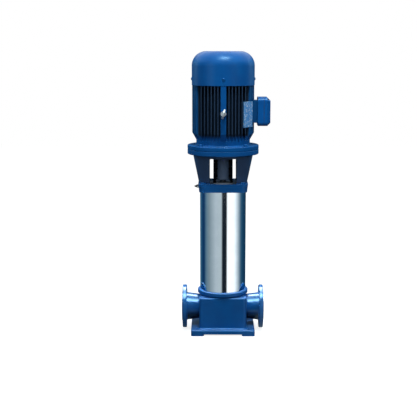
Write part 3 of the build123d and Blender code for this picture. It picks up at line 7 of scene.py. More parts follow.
import bpy
from mathutils import Euler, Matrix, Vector


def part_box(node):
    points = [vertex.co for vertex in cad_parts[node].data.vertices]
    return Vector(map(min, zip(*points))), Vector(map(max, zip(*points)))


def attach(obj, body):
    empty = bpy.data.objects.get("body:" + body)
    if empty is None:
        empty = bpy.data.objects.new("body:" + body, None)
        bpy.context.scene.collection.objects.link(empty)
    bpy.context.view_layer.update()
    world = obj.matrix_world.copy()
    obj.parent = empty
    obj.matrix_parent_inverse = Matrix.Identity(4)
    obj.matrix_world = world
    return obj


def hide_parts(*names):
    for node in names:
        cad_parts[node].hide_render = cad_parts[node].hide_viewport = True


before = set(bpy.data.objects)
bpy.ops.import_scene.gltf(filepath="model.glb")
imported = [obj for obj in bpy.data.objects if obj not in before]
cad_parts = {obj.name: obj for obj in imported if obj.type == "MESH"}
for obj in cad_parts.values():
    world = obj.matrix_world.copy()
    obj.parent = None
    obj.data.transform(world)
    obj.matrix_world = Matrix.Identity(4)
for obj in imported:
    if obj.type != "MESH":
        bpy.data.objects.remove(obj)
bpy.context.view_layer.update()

MM = 0.001
LOG = logging.getLogger("pump")
Ring = list[Vector]
Shell = tuple[list[Vector], list[tuple[int, ...]]]
Socket = bpy.types.NodeSocket

# a Mix node that mixes colours takes its factor at input 0 and the colours at 6 and 7
COLOURS = {"data_type": "RGBA", "out": 2}
# nearly all of a noise pattern lies between these
MIDDLE = (0.3, 0.7)
# between a rounded edge's normal and its face's own, the cosines of full wear and of none
WORN_TO_FLAT = (0.8, 0.995)
# the upward share of a normal where dust starts to lie, and where it lies thickest
SLOPING_TO_LEVEL = (0.6, 1.0)


# ------------------------------------------------------------------ helpers
def linear(code: str) -> tuple[float, float, float, float]:
    """Turns a written sRGB colour into the linear one that nodes take.

    Args:
        code: The colour as six hexadecimal digits.

    Returns:
        Red, green, blue and alpha, linear.
    """
    parts = [int(code[i:i + 2], 16) / 255 for i in (0, 2, 4)]
    out = [c / 12.92 if c <= 0.04045 else ((c + 0.055) / 1.055) ** 2.4 for c in parts]
    return out[0], out[1], out[2], 1.0


def linked(name: str, data: bpy.types.ID | None) -> bpy.types.Object:
    """Makes an object and links it to the scene.

    Args:
        name: The object's name.
        data: Its mesh, lamp or camera.

    Returns:
        The object.
    """
    made = bpy.data.objects.new(name, data)
    bpy.context.scene.collection.objects.link(made)
    return made


class Net:
    """A node tree that is filled one node at a time."""

    def __init__(self, tree: bpy.types.NodeTree) -> None:
        """Keeps the tree, emptied of the nodes it came with."""
        self.tree = tree
        tree.nodes.clear()

    def add(self, kind: str, *values: object, out: int | str = 0, **settings: object) -> Socket | None:
        """Adds one node, sets what it is told and links its inputs.

        Args:
            kind: The node's type; a shader node's leaves out its first two words.
            values: A value or another node's output for each input in turn, or one dictionary that
                gives them by name or number.
            out: The output to return, by name or number.
            settings: Attributes of the node; "stops" holds a colour ramp's places and colours.

        Returns:
            The output, if the node has any.
        """
        new = self.tree.nodes.new(kind if "Node" in kind else f"ShaderNode{kind}")
        for name, value in settings.items():
            if name != "stops":
                setattr(new, name, value)
                continue
            ramp = new.color_ramp.elements
            while len(ramp) < len(value):
                ramp.new(1.0)
            for element, (spot, colour) in zip(ramp, value):
                element.position, element.color = spot, colour
        given = values[0] if values and isinstance(values[0], dict) else dict(enumerate(values))
        for key, value in given.items():
            if isinstance(value, Socket):
                self.tree.links.new(value, new.inputs[key])
            else:
                new.inputs[key].default_value = value
        return new.outputs[out] if new.outputs else None


def new_material(name: str) -> tuple[bpy.types.Material, Net]:
    """Makes a material without nodes.

    Args:
        name: The material's name.

    Returns:
        The material, and its net to be filled.
    """
    made = bpy.data.materials.new(name)
    made.use_nodes = True
    return made, Net(made.node_tree)


# ------------------------------------------------------------------ finishes
class Lay(Enum):
    """Which way the tool marks of a metal run."""

    TURNED = "turned"
    NONE = "none"


@dataclass(frozen=True)
class Finish:
    """What every finish has: a name and how far its edges are rounded off."""

    name: str
    edge: float = 0.6 * MM
    edge_samples: int = 4

    def material(self) -> bpy.types.Material:
        """Makes the material, once for each finish.

        Returns:
            The material, with its nodes.
        """
        made = bpy.data.materials.get(self.name)
        if made is None:
            made, net = new_material(self.name)
            place = net.add("TexCoord", out="Object")
            net.add("OutputMaterial", {"Surface": self.shade(net, place)})
        return made

    def shade(self, net: Net, place: Socket) -> Socket:
        """Adds the finish's own nodes and returns its shader."""
        raise NotImplementedError


@dataclass(frozen=True)
class Enamel(Finish):
    """Stoved blue enamel: a glossy film that follows the metal beneath it."""

    colour: str = "0A5092"
    deep: str = "084684"
    rubbed: str = "1E6CAE"
    dust: str = "9FB4C4"
    cloud: float = 70 * MM
    patch: float = 14 * MM
    patch_least: float = 0.15
    wear: float = 0.75
    dusting: float = 0.10
    skin: float = 3.0 * MM
    skin_depth: float = 0.25 * MM
    roughness: float = 0.36
    swing: float = 0.05
    specular: float = 0.26
    shine: str = "9CDCFF"
    coat: float = 0.06
    coat_roughness: float = 0.2

    def film(self, net: Net, place: Socket, clouds: Socket) -> Socket:
        """Adds the colour of the film and returns it."""
        share = net.add("MapRange", clouds, *MIDDLE, 0.0, 1.0)
        return net.add("Mix", {0: share, 6: linear(self.deep), 7: linear(self.colour)}, **COLOURS)

    def shade(self, net: Net, place: Socket) -> Socket:
        """Adds the film, its clouds, its worn edges and the skin beneath it.

        Args:
            net: The material's nodes.
            place: Object coordinates.

        Returns:
            The shader.
        """
        # broad clouds where the film is thicker, so that no large face is one flat blue
        clouds = net.add("TexNoise", {"Vector": place, "Scale": 1 / self.cloud, "Detail": 4.0})
        film = self.film(net, place, clouds)
        # edges are rubbed paler where hands and tools touch them, in patches
        rounded = net.add("Bevel", self.edge, samples=self.edge_samples)
        flat = net.add("NewGeometry", out="Normal")
        bend = net.add("VectorMath", rounded, flat, out="Value", operation="DOT_PRODUCT")
        edges = net.add("MapRange", bend, *WORN_TO_FLAT, self.wear, 0.0)
        spots = net.add("TexNoise", {"Vector": place, "Scale": 1 / self.patch, "Detail": 3.0})
        patches = net.add("MapRange", spots, *MIDDLE, self.patch_least, 1.0)
        share = net.add("Math", edges, patches, operation="MULTIPLY")
        worn = net.add("Mix", {0: share, 6: film, 7: linear(self.rubbed)}, **COLOURS)
        # a little dust on what faces up
        up = net.add("SeparateXYZ", flat, out="Z")
        level = net.add("MapRange", up, *SLOPING_TO_LEVEL, 0.0, self.dusting)
        share = net.add("Math", level, patches, operation="MULTIPLY")
        colour = net.add("Mix", {0: share, 6: worn, 7: linear(self.dust)}, **COLOURS)
        pebbles = net.add("TexNoise", {"Vector": place, "Scale": 1 / self.skin, "Detail": 2.0})
        dull, bright = self.roughness + self.swing, self.roughness - self.swing
        return net.add("BsdfPrincipled", {
            "Base Color": colour, "Roughness": net.add("MapRange", clouds, *MIDDLE, dull, bright),
            "Normal": net.add("Bump", {"Height": pebbles, "Distance": self.skin_depth, "Normal": rounded}),
            "Specular IOR Level": self.specular, "Specular Tint": linear(self.shine),
            "Coat Weight": self.coat, "Coat Roughness": self.coat_roughness,
        })


@dataclass(frozen=True)
class FinnedEnamel(Enamel):
    """Enamel on the finned frame, with painted shade that darkens it between the fins."""

    # painted shade between the fins, and the painted tones of their tips
    dark: str = "141D2B"
    tips: str = "26374F"
    side_tips: str = "0D4478"
    fin_middle: float = 117 * MM
    fin_tip: float = 126 * MM
    fin_side: float = 104 * MM
    rib_half: float = 11.5 * MM
    foot_top: float = 831 * MM
    fin_bottom: float = 846 * MM

    def film(self, net: Net, place: Socket, clouds: Socket) -> Socket:
        """Adds the colour of the film, with painted shade by how deep between the fins it is.

        Args:
            net: The material's nodes.
            place: Object coordinates.
            clouds: The film's clouds.

        Returns:
            The colour.
        """
        blue = super().film(net, place, clouds)
        axes = net.add("SeparateXYZ", place).node.outputs
        across = net.add("CombineXYZ", axes[0], axes[1])
        reach = net.add("VectorMath", across, out="Value", operation="LENGTH")
        # painted shade: near black deep between the fins, navy towards their tips
        out = net.add("MapRange", reach, self.fin_middle, self.fin_tip, 0.0, 1.0)
        # painted light and shade: the tips of the fins at the sides are blue, the others navy
        aside = net.add("Math", axes[0], operation="ABSOLUTE")
        beyond = net.add("Math", aside, self.fin_side, operation="GREATER_THAN")
        tips = net.add("Mix", {0: beyond, 6: linear(self.tips), 7: linear(self.side_tips)}, **COLOURS)
        fins = net.add("Mix", {0: out, 6: linear(self.dark), 7: tips}, **COLOURS)
        # the two ribs and the foot keep the full blue
        beside = net.add("Math", aside, self.rib_half, operation="GREATER_THAN")
        above = net.add("MapRange", axes[2], self.foot_top, self.fin_bottom, 0.0, 1.0)
        share = net.add("Math", beside, above, operation="MULTIPLY")
        return net.add("Mix", {0: share, 6: blue, 7: fins}, **COLOURS)


@dataclass(frozen=True)
class BandedEnamel(Enamel):
    """Enamel with another colour over one stretch of one axis, alike on both sides of the middle."""

    # by default the band is the navy of the lantern's legs, painted shade under the motor's flange
    band: str = "364A6A"
    axis: int = 2
    start: float = 644 * MM
    end: float = 757 * MM
    fade: float = 4 * MM

    def film(self, net: Net, place: Socket, clouds: Socket) -> Socket:
        """Adds the colour of the film, by how far along the axis it is.

        Args:
            net: The material's nodes.
            place: Object coordinates.
            clouds: The film's clouds.

        Returns:
            The colour.
        """
        blue = super().film(net, place, clouds)
        axes = net.add("SeparateXYZ", place).node.outputs
        along = net.add("Math", axes[self.axis], operation="ABSOLUTE")
        past = net.add("MapRange", along, self.start, self.start + self.fade, 0.0, 1.0)
        short = net.add("MapRange", along, self.end, self.end + self.fade, 1.0, 0.0)
        share = net.add("Math", past, short, operation="MULTIPLY")
        return net.add("Mix", {0: share, 6: blue, 7: linear(self.band)}, **COLOURS)


@dataclass(frozen=True)
class MachinedEnamel(Enamel):
    """Enamelled casting whose end faces are turned bright and left bare."""

    primer: str = "1A1D26"
    crest: str = "B9B8B4"
    hollow: str = "8B8781"
    lit: float = 96 * MM
    unlit: float = 72 * MM
    flange_back: float = 151 * MM
    face: float = 174.6 * MM
    port_height: float = 100 * MM
    groove: float = 1.6 * MM
    groove_depth: float = 0.08 * MM

    def film(self, net: Net, place: Socket, clouds: Socket) -> Socket:
        """Adds the colour of the film, with painted shade on the undersides of the pipes.

        Args:
            net: The material's nodes.
            place: Object coordinates.
            clouds: The film's clouds.

        Returns:
            The colour.
        """
        blue = super().film(net, place, clouds)
        axes = net.add("SeparateXYZ", place).node.outputs
        # painted shade: the pipes darken towards their undersides
        under = net.add("MapRange", axes[2], self.unlit, self.lit, 1.0, 0.0)
        aside = net.add("Math", axes[0], operation="ABSOLUTE")
        pipe = net.add("Math", aside, self.flange_back, operation="LESS_THAN")
        share = net.add("Math", under, pipe, operation="MULTIPLY")
        return net.add("Mix", {0: share, 6: blue, 7: linear(self.primer)}, **COLOURS)

    def shade(self, net: Net, place: Socket) -> Socket:
        """Adds the bare faces, with the rings that the tool leaves, to the enamel.

        Args:
            net: The material's nodes.
            place: Object coordinates.

        Returns:
            The shader.
        """
        shader = super().shade(net, place)
        sockets = shader.node.inputs
        paint, film = (sockets[name].links[0].from_socket for name in ("Base Color", "Normal"))
        axes = net.add("SeparateXYZ", place).node.outputs
        aside = net.add("Math", axes[0], operation="ABSOLUTE")
        bare = net.add("Math", aside, self.face, operation="GREATER_THAN")
        # rings round the port's own axis
        up = net.add("Math", axes[2], self.port_height, operation="SUBTRACT")
        around = net.add("CombineXYZ", axes[1], up)
        reach = net.add("VectorMath", around, out="Value", operation="LENGTH")
        turns = net.add("Math", reach, math.tau / self.groove, operation="MULTIPLY")
        rings = net.add("Math", turns, operation="SINE")
        # cast iron cut bright: cold grey, a little warmer in the hollows of its rings
        crests = net.add("MapRange", rings, -1.0, 1.0, 0.0, 1.0)
        metal = net.add("Mix", {0: crests, 6: linear(self.hollow), 7: linear(self.crest)}, **COLOURS)
        cut = net.add("Math", rings, bare, operation="MULTIPLY")
        for name, value in (
            ("Base Color", net.add("Mix", {0: bare, 6: paint, 7: metal}, **COLOURS)),
            ("Normal", net.add("Bump", {"Height": cut, "Distance": self.groove_depth, "Normal": film})),
            ("Metallic", bare),
        ):
            net.tree.links.new(value, sockets[name])
        return shader


@dataclass(frozen=True)
class Metal(Finish):
    """Bare or plated metal with the marks of how it was made."""

    colour: str = "C9CCCE"
    dull_colour: str = "A9ADB0"
    roughness: float = 0.25
    swing: float = 0.06
    lay: Lay = Lay.NONE
    mark: float = 1.2 * MM
    mark_depth: float = 0.02 * MM
    cloud: float = 22 * MM
    metallic: float = 1.0

    def marks(self, net: Net, place: Socket) -> Socket:
        """Adds the tool marks.

        Args:
            net: The material's nodes.
            place: Object coordinates.

        Returns:
            The marks, from 0 to 1.
        """
        if self.lay is Lay.NONE:
            return net.add("TexNoise", {"Vector": place, "Scale": 1 / self.mark, "Detail": 3.0})
        axes = net.add("SeparateXYZ", place).node.outputs
        across = net.add("CombineXYZ", axes[0], axes[1])
        reach = net.add("VectorMath", across, out="Value", operation="LENGTH")
        line = net.add("CombineXYZ", reach, 0.0, axes[2])
        return net.add("TexNoise", {"Vector": line, "Scale": 1 / self.mark, "Detail": 2.0})

    def shade(self, net: Net, place: Socket) -> Socket:
        """Adds the metal, its clouded sheen and its tool marks.

        Args:
            net: The material's nodes.
            place: Object coordinates.

        Returns:
            The shader.
        """
        marks = self.marks(net, place)
        clouds = net.add("TexNoise", {"Vector": place, "Scale": 1 / self.cloud, "Detail": 3.0})
        # clouds darken and dull the metal together, as handling and plating do
        share = net.add("MapRange", clouds, *MIDDLE, 0.0, 1.0)
        dull, bright = self.roughness + self.swing, self.roughness - self.swing
        rounded = net.add("Bevel", self.edge, samples=self.edge_samples)
        return net.add("BsdfPrincipled", {
            "Base Color": net.add(
                "Mix", {0: share, 6: linear(self.dull_colour), 7: linear(self.colour)}, **COLOURS
            ),
            "Metallic": self.metallic, "Roughness": net.add("MapRange", clouds, *MIDDLE, dull, bright),
            "Normal": net.add("Bump", {"Height": marks, "Distance": self.mark_depth, "Normal": rounded}),
        })


@dataclass(frozen=True)
class Moulding(Finish):
    """Rubber, moulded plastic or sintered ceramic."""

    colour: str = "17181A"
    dull_colour: str = "0F1012"
    roughness: float = 0.5
    swing: float = 0.06
    cloud: float = 25 * MM
    texture: float = 1.5 * MM
    texture_depth: float = 0.06 * MM
    sheen: float = 0.0

    def shade(self, net: Net, place: Socket) -> Socket:
        """Adds the moulded skin, spark-eroded or smooth.

        Args:
            net: The material's nodes.
            place: Object coordinates.

        Returns:
            The shader.
        """
        clouds = net.add("TexNoise", {"Vector": place, "Scale": 1 / self.cloud, "Detail": 3.0})
        share = net.add("MapRange", clouds, *MIDDLE, 0.0, 1.0)
        pits = net.add("TexNoise", {"Vector": place, "Scale": 1 / self.texture, "Detail": 2.0})
        gloss = net.add("MapRange", pits, *MIDDLE, self.roughness - self.swing, self.roughness + self.swing)
        rounded = net.add("Bevel", self.edge, samples=self.edge_samples)
        return net.add("BsdfPrincipled", {
            "Base Color": net.add(
                "Mix", {0: share, 6: linear(self.dull_colour), 7: linear(self.colour)}, **COLOURS
            ),
            "Roughness": gloss, "Sheen Weight": self.sheen,
            "Normal": net.add("Bump", {"Height": pits, "Distance": self.texture_depth, "Normal": rounded}),
        })


@dataclass(frozen=True)
class Laminated(Metal):
    """Stacked sheets of electrical steel, a fine dark line between each two."""

    sheet: float = 2.0 * MM
    line: float = -0.6

    def marks(self, net: Net, place: Socket) -> Socket:
        """Adds the edges of the sheets, drawn coarser than the real half millimetre so that they show.

        Args:
            net: The material's nodes.
            place: Object coordinates.

        Returns:
            The edges, from 0 to 1.
        """
        height = net.add("SeparateXYZ", place, out="Z")
        turns = net.add("Math", height, math.tau / self.sheet, operation="MULTIPLY")
        wave = net.add("Math", turns, operation="SINE")
        return net.add("MapRange", wave, -1.0, self.line, 0.0, 1.0)


@dataclass(frozen=True)
class Wound(Metal):
    """Enamelled copper wire laid side by side round the axis."""

    strand: float = 1.5 * MM
    sway: float = 2 * MM
    sway_length: float = 20 * MM

    def marks(self, net: Net, place: Socket) -> Socket:
        """Adds the strands, which run round the axis and cross a little.

        Args:
            net: The material's nodes.
            place: Object coordinates.

        Returns:
            The strands, from 0 to 1.
        """
        clouds = net.add("TexNoise", {"Vector": place, "Scale": 1 / self.sway_length, "Detail": 3.0})
        sway = net.add("MapRange", clouds, *MIDDLE, 0.0, self.sway)
        height = net.add("Math", net.add("SeparateXYZ", place, out="Z"), sway, operation="ADD")
        turns = net.add("Math", height, math.tau / self.strand, operation="MULTIPLY")
        wave = net.add("Math", turns, operation="SINE")
        return net.add("MapRange", wave, -1.0, 1.0, 0.0, 1.0)


@dataclass(frozen=True)
class SpeckledPlate(Metal):
    """Anodised plate, pale blue and finely speckled, left blank."""

    speck: float = 2.6 * MM
    speck_colour: str = "E8F3FB"
    speck_share: float = 0.9
    speck_core: float = 0.2
    speck_edge: float = 0.4

    def shade(self, net: Net, place: Socket) -> Socket:
        """Adds the specks to the metal.

        Args:
            net: The material's nodes.
            place: Object coordinates.

        Returns:
            The shader.
        """
        shader = super().shade(net, place)
        base = shader.node.inputs["Base Color"]
        cells = net.add("TexVoronoi", {"Vector": place, "Scale": 1 / self.speck}, out="Distance")
        dots = net.add("MapRange", cells, self.speck_core, self.speck_edge, 1.0, 0.0)
        share = net.add("Math", dots, self.speck_share, operation="MULTIPLY")
        specks = linear(self.speck_colour)
        mix = net.add("Mix", {0: share, 6: base.links[0].from_socket, 7: specks}, **COLOURS)
        net.tree.links.new(mix, base)
        return shader


class Finishes:
    """Every finish on the pump, under a plain name."""

    # thick enamel on sand-cast iron: the pebbled skin of the mould shows through it
    cast_enamel = Enamel("blue_enamel_on_cast_iron", edge=1.6 * MM, skin=4.0 * MM, skin_depth=0.35 * MM)
    # the same on the nozzles, whose sealing faces are turned bright
    nozzle_enamel = MachinedEnamel(
        "blue_enamel_on_machined_nozzles", edge=1.6 * MM, skin_depth=0.12 * MM, roughness=0.24,
        specular=0.44, shine="B4ECFF",
    )
    # a second coat on the motor's flange: glossier, and it catches the light along its edges
    flange_enamel = Enamel(
        "glossy_blue_enamel_on_flange", edge=2.5 * MM, skin_depth=0.12 * MM, roughness=0.26, coat=0.2,
    )
    # thin enamel on pressed sheet: smooth, with a faint orange peel and a sharper shine
    sheet_enamel = Enamel(
        "blue_enamel_on_pressed_sheet", edge=0.8 * MM, colour="0A5294", deep="084888",
        skin=6.0 * MM, skin_depth=0.03 * MM, roughness=0.33, specular=0.34,
    )
    # enamel on die-cast aluminium: fine skin, a touch brighter on the edges
    alloy_enamel = Enamel(
        "blue_enamel_on_cast_aluminium", edge=0.7 * MM, colour="0B559A", deep="094A8C",
        skin=2.6 * MM, skin_depth=0.18 * MM, roughness=0.32,
    )
    # the same on the frame, with painted shade that makes it nearly black between its fins
    fin_enamel = FinnedEnamel(
        "blue_enamel_on_finned_aluminium", edge=0.6 * MM, rubbed="1F5C94",
        skin=2.6 * MM, skin_depth=0.18 * MM, roughness=0.36,
    )
    # the lantern's legs are painted navy: painted shade on the downward-facing legs under the motor's
    # flange
    lantern_enamel = BandedEnamel(
        "blue_and_navy_enamel_on_steel", edge=1.2 * MM, rubbed="2C5F92", skin_depth=0.3 * MM,
    )
    # painted coupling, dull blue-grey, and darker over its sides, from 21 to 60 mm either side of the
    # middle
    coupling_paint = BandedEnamel(
        "blue_grey_paint_on_steel", edge=0.6 * MM, colour="7890B0", deep="667F9E", rubbed="8CA0BA",
        band="2C3540", axis=0, start=21 * MM, end=60 * MM, skin=2.0 * MM, skin_depth=0.12 * MM,
        roughness=0.5, shine="FFFFFF", coat=0.1,
    )
    # mirror-polished tube: long clean reflections, only just broken by the polishing rings
    polished = Metal(
        "polished_stainless_tube", edge=0.3 * MM, colour="E4E8EA", dull_colour="DADFE2",
        roughness=0.085, swing=0.02, lay=Lay.TURNED, mark=2.4 * MM, mark_depth=0.004 * MM, cloud=60 * MM,
    )
    # turned stainless: rings of the tool round the axis
    turned = Metal(
        "turned_stainless_steel", colour="C6C9CB", dull_colour="A6AAAD", roughness=0.26,
        lay=Lay.TURNED, mark=1.2 * MM,
    )
    # pressed stainless of the stages: matt from pickling
    pressed = Metal("pickled_stainless_steel", colour="B4B7B8", dull_colour="94989A", roughness=0.4)
    # zinc plate, blue-passivated: bright, cloudy, a little yellow in the dull patches
    zinc = Metal(
        "zinc_plated_steel", edge=0.3 * MM, colour="D2D6D8", dull_colour="B3B0A4", roughness=0.3,
        swing=0.1, cloud=8 * MM,
    )
    # hot-dip galvanised forging: pale, matt, with broad spangles
    galvanised = Metal(
        "hot_dip_galvanised_steel", edge=0.6 * MM, colour="F6F9FB", dull_colour="C2C9CF", roughness=0.36,
        swing=0.08, cloud=7 * MM, metallic=0.6,
    )
    # cast seal cover: bead-blasted stainless, soft grey
    blasted = Metal(
        "bead_blasted_stainless_steel", colour="C0CCD6", dull_colour="A2B0BC", roughness=0.5, mark=1.6 * MM,
        mark_depth=0.06 * MM, metallic=0.3,
    )
    # phosphated and oiled steel: nearly black with a grey bloom
    black_steel = Metal(
        "phosphated_black_steel", edge=0.5 * MM, colour="34373A", dull_colour="232527", roughness=0.42,
        swing=0.1, cloud=12 * MM,
    )
    # ground shaft steel: bright, with the wheel's fine rings
    ground = Metal(
        "ground_shaft_steel", colour="C2C4C5", dull_colour="9DA0A2", roughness=0.22, lay=Lay.TURNED,
        mark=1.0 * MM,
    )
    # lead bronze, brown-gold and slightly porous
    bronze = Metal(
        "leaded_bearing_bronze", colour="B98A4E", dull_colour="8E6535", roughness=0.38, lay=Lay.TURNED,
    )
    # oriented steel sheets, blue-grey varnish on their edges
    core = Laminated("varnished_electrical_steel", colour="5C6068", dull_colour="474B53", roughness=0.5)
    # copper under clear wire enamel
    copper = Wound(
        "enamelled_copper_wire", colour="B5653A", dull_colour="8A4526", roughness=0.35,
        mark_depth=0.3 * MM,
    )
    # anodised aluminium, pale blue, with white specks drawn coarser than the real ones so that they show
    plate = SpeckledPlate(
        "pale_blue_anodised_plate", edge=0.3 * MM, colour="68A8E4", dull_colour="4A8CD0", roughness=0.45,
        metallic=0.15, speck=7.5 * MM,
    )
    # nitrile rubber: dull black with a bloom at grazing light
    rubber = Moulding(
        "black_nitrile_rubber", colour="1B1C1D", dull_colour="131415", roughness=0.7, sheen=0.2,
    )
    # sintered carbide, lapped: dark grey, dense and nearly a mirror
    carbide = Moulding(
        "lapped_silicon_carbide", colour="3A3D41", dull_colour="303338", roughness=0.18, texture_depth=0.0,
    )
    # glass-filled polyamide of the fan: black, faintly mottled
    fan_plastic = Moulding(
        "glass_filled_black_polyamide", colour="202225", dull_colour="17181B", roughness=0.55,
    )
    # melamine block: warm brown, hard gloss
    melamine = Moulding("brown_melamine", colour="4A3322", dull_colour="3B281A", roughness=0.3)
    # polyamide gland: black with the mould's fine spark texture
    gland_plastic = Moulding(
        "black_polyamide_gland", colour="1E2023", dull_colour="151719", roughness=0.45,
    )


# ------------------------------------------------------------------ mesh making
def circle(radius: float, height: float, sides: int) -> Ring:
    """Returns a ring of points round the Z axis."""
    turns = (math.tau * i / sides for i in range(sides))
    return [Vector((radius * math.cos(t), radius * math.sin(t), height)) for t in turns]


def circles(sides: int, *sizes: tuple[float, float]) -> list[Ring]:
    """Returns a ring of points for each radius and height."""
    return [circle(radius, height, sides) for radius, height in sizes]


def hexagon(flats: float, height: Callable[[float], float] | float, sides: int, cap: float = 1.0) -> Ring:
    """Lays a ring of points on a hexagon.

    Args:
        flats: The size across the flats.
        height: The ring's height, or a rule that gives it from the distance to the axis.
        sides: How many points the ring has, a multiple of six.
        cap: The largest distance from the axis.

    Returns:
        The points.
    """
    sixth = math.tau / 6
    points = []
    for i in range(sides):
        turn = math.tau * i / sides
        reach = flats / 2 / math.cos((turn + sixth / 2) % sixth - sixth / 2)
        level = height(reach) if callable(height) else height
        reach = min(reach, cap)
        points.append(Vector((reach * math.cos(turn), reach * math.sin(turn), level)))
    return points


def band(low: int, high: int, sides: int) -> list[tuple[int, ...]]:
    """Returns the faces between two rings, given by the numbers of their first points."""
    steps = [(i, (i + 1) % sides) for i in range(sides)]
    return [(low + i, low + j, high + j, high + i) for i, j in steps]


def skin(rings: Sequence[Ring], looped: bool = False) -> Shell:
    """Joins rings of points to a closed shell.

    Args:
        rings: The rings, from bottom to top on the outside.
        looped: Whether the last ring is joined to the first instead of closed with a pole.

    Returns:
        The points and the faces.
    """
    sides, last = len(rings[0]), len(rings) - 1
    points = [point for ring in rings for point in ring]
    pairs = [(i, i + 1) for i in range(last)] + ([(last, 0)] if looped else [])
    faces = [face for low, high in pairs for face in band(low * sides, high * sides, sides)]
    for ring, order in (() if looped else ((0, -1), (last, 1))):
        pole = len(points)
        points.append(sum(rings[ring], Vector()) / sides)
        for i in range(sides):
            pair = (ring * sides + i, ring * sides + (i + 1) % sides)[::order]
            faces.append((*pair, pole))
    return points, faces


def mesh_object(name: str, *shells: Shell) -> bpy.types.Object:
    """Makes one object from shells of points and faces.

    Args:
        name: The object's name.
        shells: Points and faces of each shell.

    Returns:
        The object, linked to the scene.
    """
    points, faces = [], []
    for more_points, more_faces in shells:
        start = len(points)
        points += more_points
        faces += [tuple(i + start for i in face) for face in more_faces]
    mesh = bpy.data.meshes.new(name)
    mesh.from_pydata(points, [], faces)
    return linked(name, mesh)


@dataclass(frozen=True, kw_only=True)
class Screw:
    """What every screw has: its seat is at height 0, its head points up and its shank down."""

    head: float
    thread: float
    length: float
    tip: float = 0.2
    sides: int = 48

    def shank(self, top: float = 0.0) -> list[Ring]:
        """Lays the rings of the shank out, from its chamfered tip up.

        Args:
            top: The height where the head starts.

        Returns:
            The rings.
        """
        chamfer = self.thread * self.tip
        end = (self.thread - chamfer, -self.length)
        return circles(self.sides, end, (self.thread, chamfer - self.length), (self.thread, top))


@dataclass(frozen=True, kw_only=True)
class HexScrew(Screw):
    """A hexagon screw on its washer, or a nut with the end of its stud."""

    flats: float
    washer: float = 0.0
    washer_height: float = 0.0
    stud_end: float = 0.0
    sides: int = 36
    pitch: float = 1.75 * MM
    chamfer_angle: float = 30.0
    # shares of the flats, of the chamfer's slope and of the flat top
    rim_share: float = 0.97
    under_share: float = 0.6
    dish_shares: tuple[float, float] = (0.72, 0.62)
    dish_depth: float = 0.5 * MM
    # shares of the thread's radius: the nut's mouth and the gap in it, the thread's root and end,
    # and the washer's hole
    mouth: float = 1.12
    gap: float = 0.9
    root: float = 0.88
    end: float = 0.75
    hole: float = 1.06
    gap_depth: float = 0.4 * MM
    washer_edge: float = 0.3 * MM

    def build(self) -> bpy.types.Object:
        """Builds the screw.

        Returns:
            The screw, at the origin.
        """
        slope = math.tan(math.radians(self.chamfer_angle))
        rim = self.flats / 2 * self.rim_share
        foot, top = self.washer_height, self.head

        def drop(reach: float) -> float:
            """Height of the upper chamfer over a corner."""
            return top - max(0.0, reach - rim) * slope

        def rise(reach: float) -> float:
            """Height of the lower chamfer under a corner."""
            return foot + max(0.0, reach - rim) * slope * self.under_share

        shell = [*self.shank(foot), hexagon(self.flats, foot, self.sides, rim)]
        shell += [hexagon(self.flats, height, self.sides) for height in (rise, drop)]
        shell.append(hexagon(self.flats, top, self.sides, rim))
        if self.stud_end:
            # the thread stands out of the nut, crest and root in turn
            sizes = [(self.mouth, top), (self.gap, top - self.gap_depth)]
            for i in range(int(self.stud_end / self.pitch * 2)):
                sizes.append((1.0 if i % 2 else self.root, top + self.pitch / 2 * i))
            sizes.append((self.end, top + self.stud_end))
            shell += circles(self.sides, *((self.thread * share, height) for share, height in sizes))
        else:
            # a shallow dish in the head, as forging leaves it
            edge, floor = self.dish_shares
            shell += circles(self.sides, (rim * edge, top), (rim * floor, top - self.dish_depth))
        shells = [skin(shell)]
        if self.washer:
            hole, edge = self.thread * self.hole, self.washer_edge
            sizes = [(hole, 0.0), (self.washer - edge, 0.0), (self.washer, edge)]
            sizes += [(self.washer, foot - edge), (self.washer - edge, foot), (hole, foot)]
            shells.append(skin(circles(self.sides, *sizes), looped=True))
        return mesh_object("hexagon_screw", *shells)


@dataclass(frozen=True, kw_only=True)
class SocketScrew(Screw):
    """A cap screw with a knurled head and a hexagon socket."""

    radius: float
    socket: float
    knurl: float = 0.12 * MM
    knurl_top: float = 0.9 * MM
    edge: float = 0.6 * MM
    socket_lead: float = 0.4 * MM
    lead_depth: float = 0.3 * MM
    # the socket's floor and the drill point beneath it, as shares of the head
    floor: float = 0.45
    point: float = 0.3
    point_width: float = 0.1

    def build(self) -> bpy.types.Object:
        """Builds the screw.

        Returns:
            The screw, at the origin, head up.
        """
        def knurled(height: float) -> Ring:
            """Returns a ring with ridges round the head."""
            crest, root = (circle(self.radius - cut, height, self.sides) for cut in (0.0, self.knurl))
            return [crest[i] if i % 2 else root[i] for i in range(self.sides)]

        sides, edge, head = self.sides, self.edge, self.head
        shell = [*self.shank(), circle(self.radius - edge / 2, 0.0, sides), knurled(edge / 2)]
        shell += [knurled(head - self.knurl_top), circle(self.radius - edge, head, sides)]
        shell.append(hexagon(self.socket + self.socket_lead, head, sides))
        shell += [hexagon(self.socket, z, sides) for z in (head - self.lead_depth, head * self.floor)]
        shell.append(circle(self.socket * self.point_width, head * self.point, sides))
        return mesh_object("socket_screw", skin(shell))


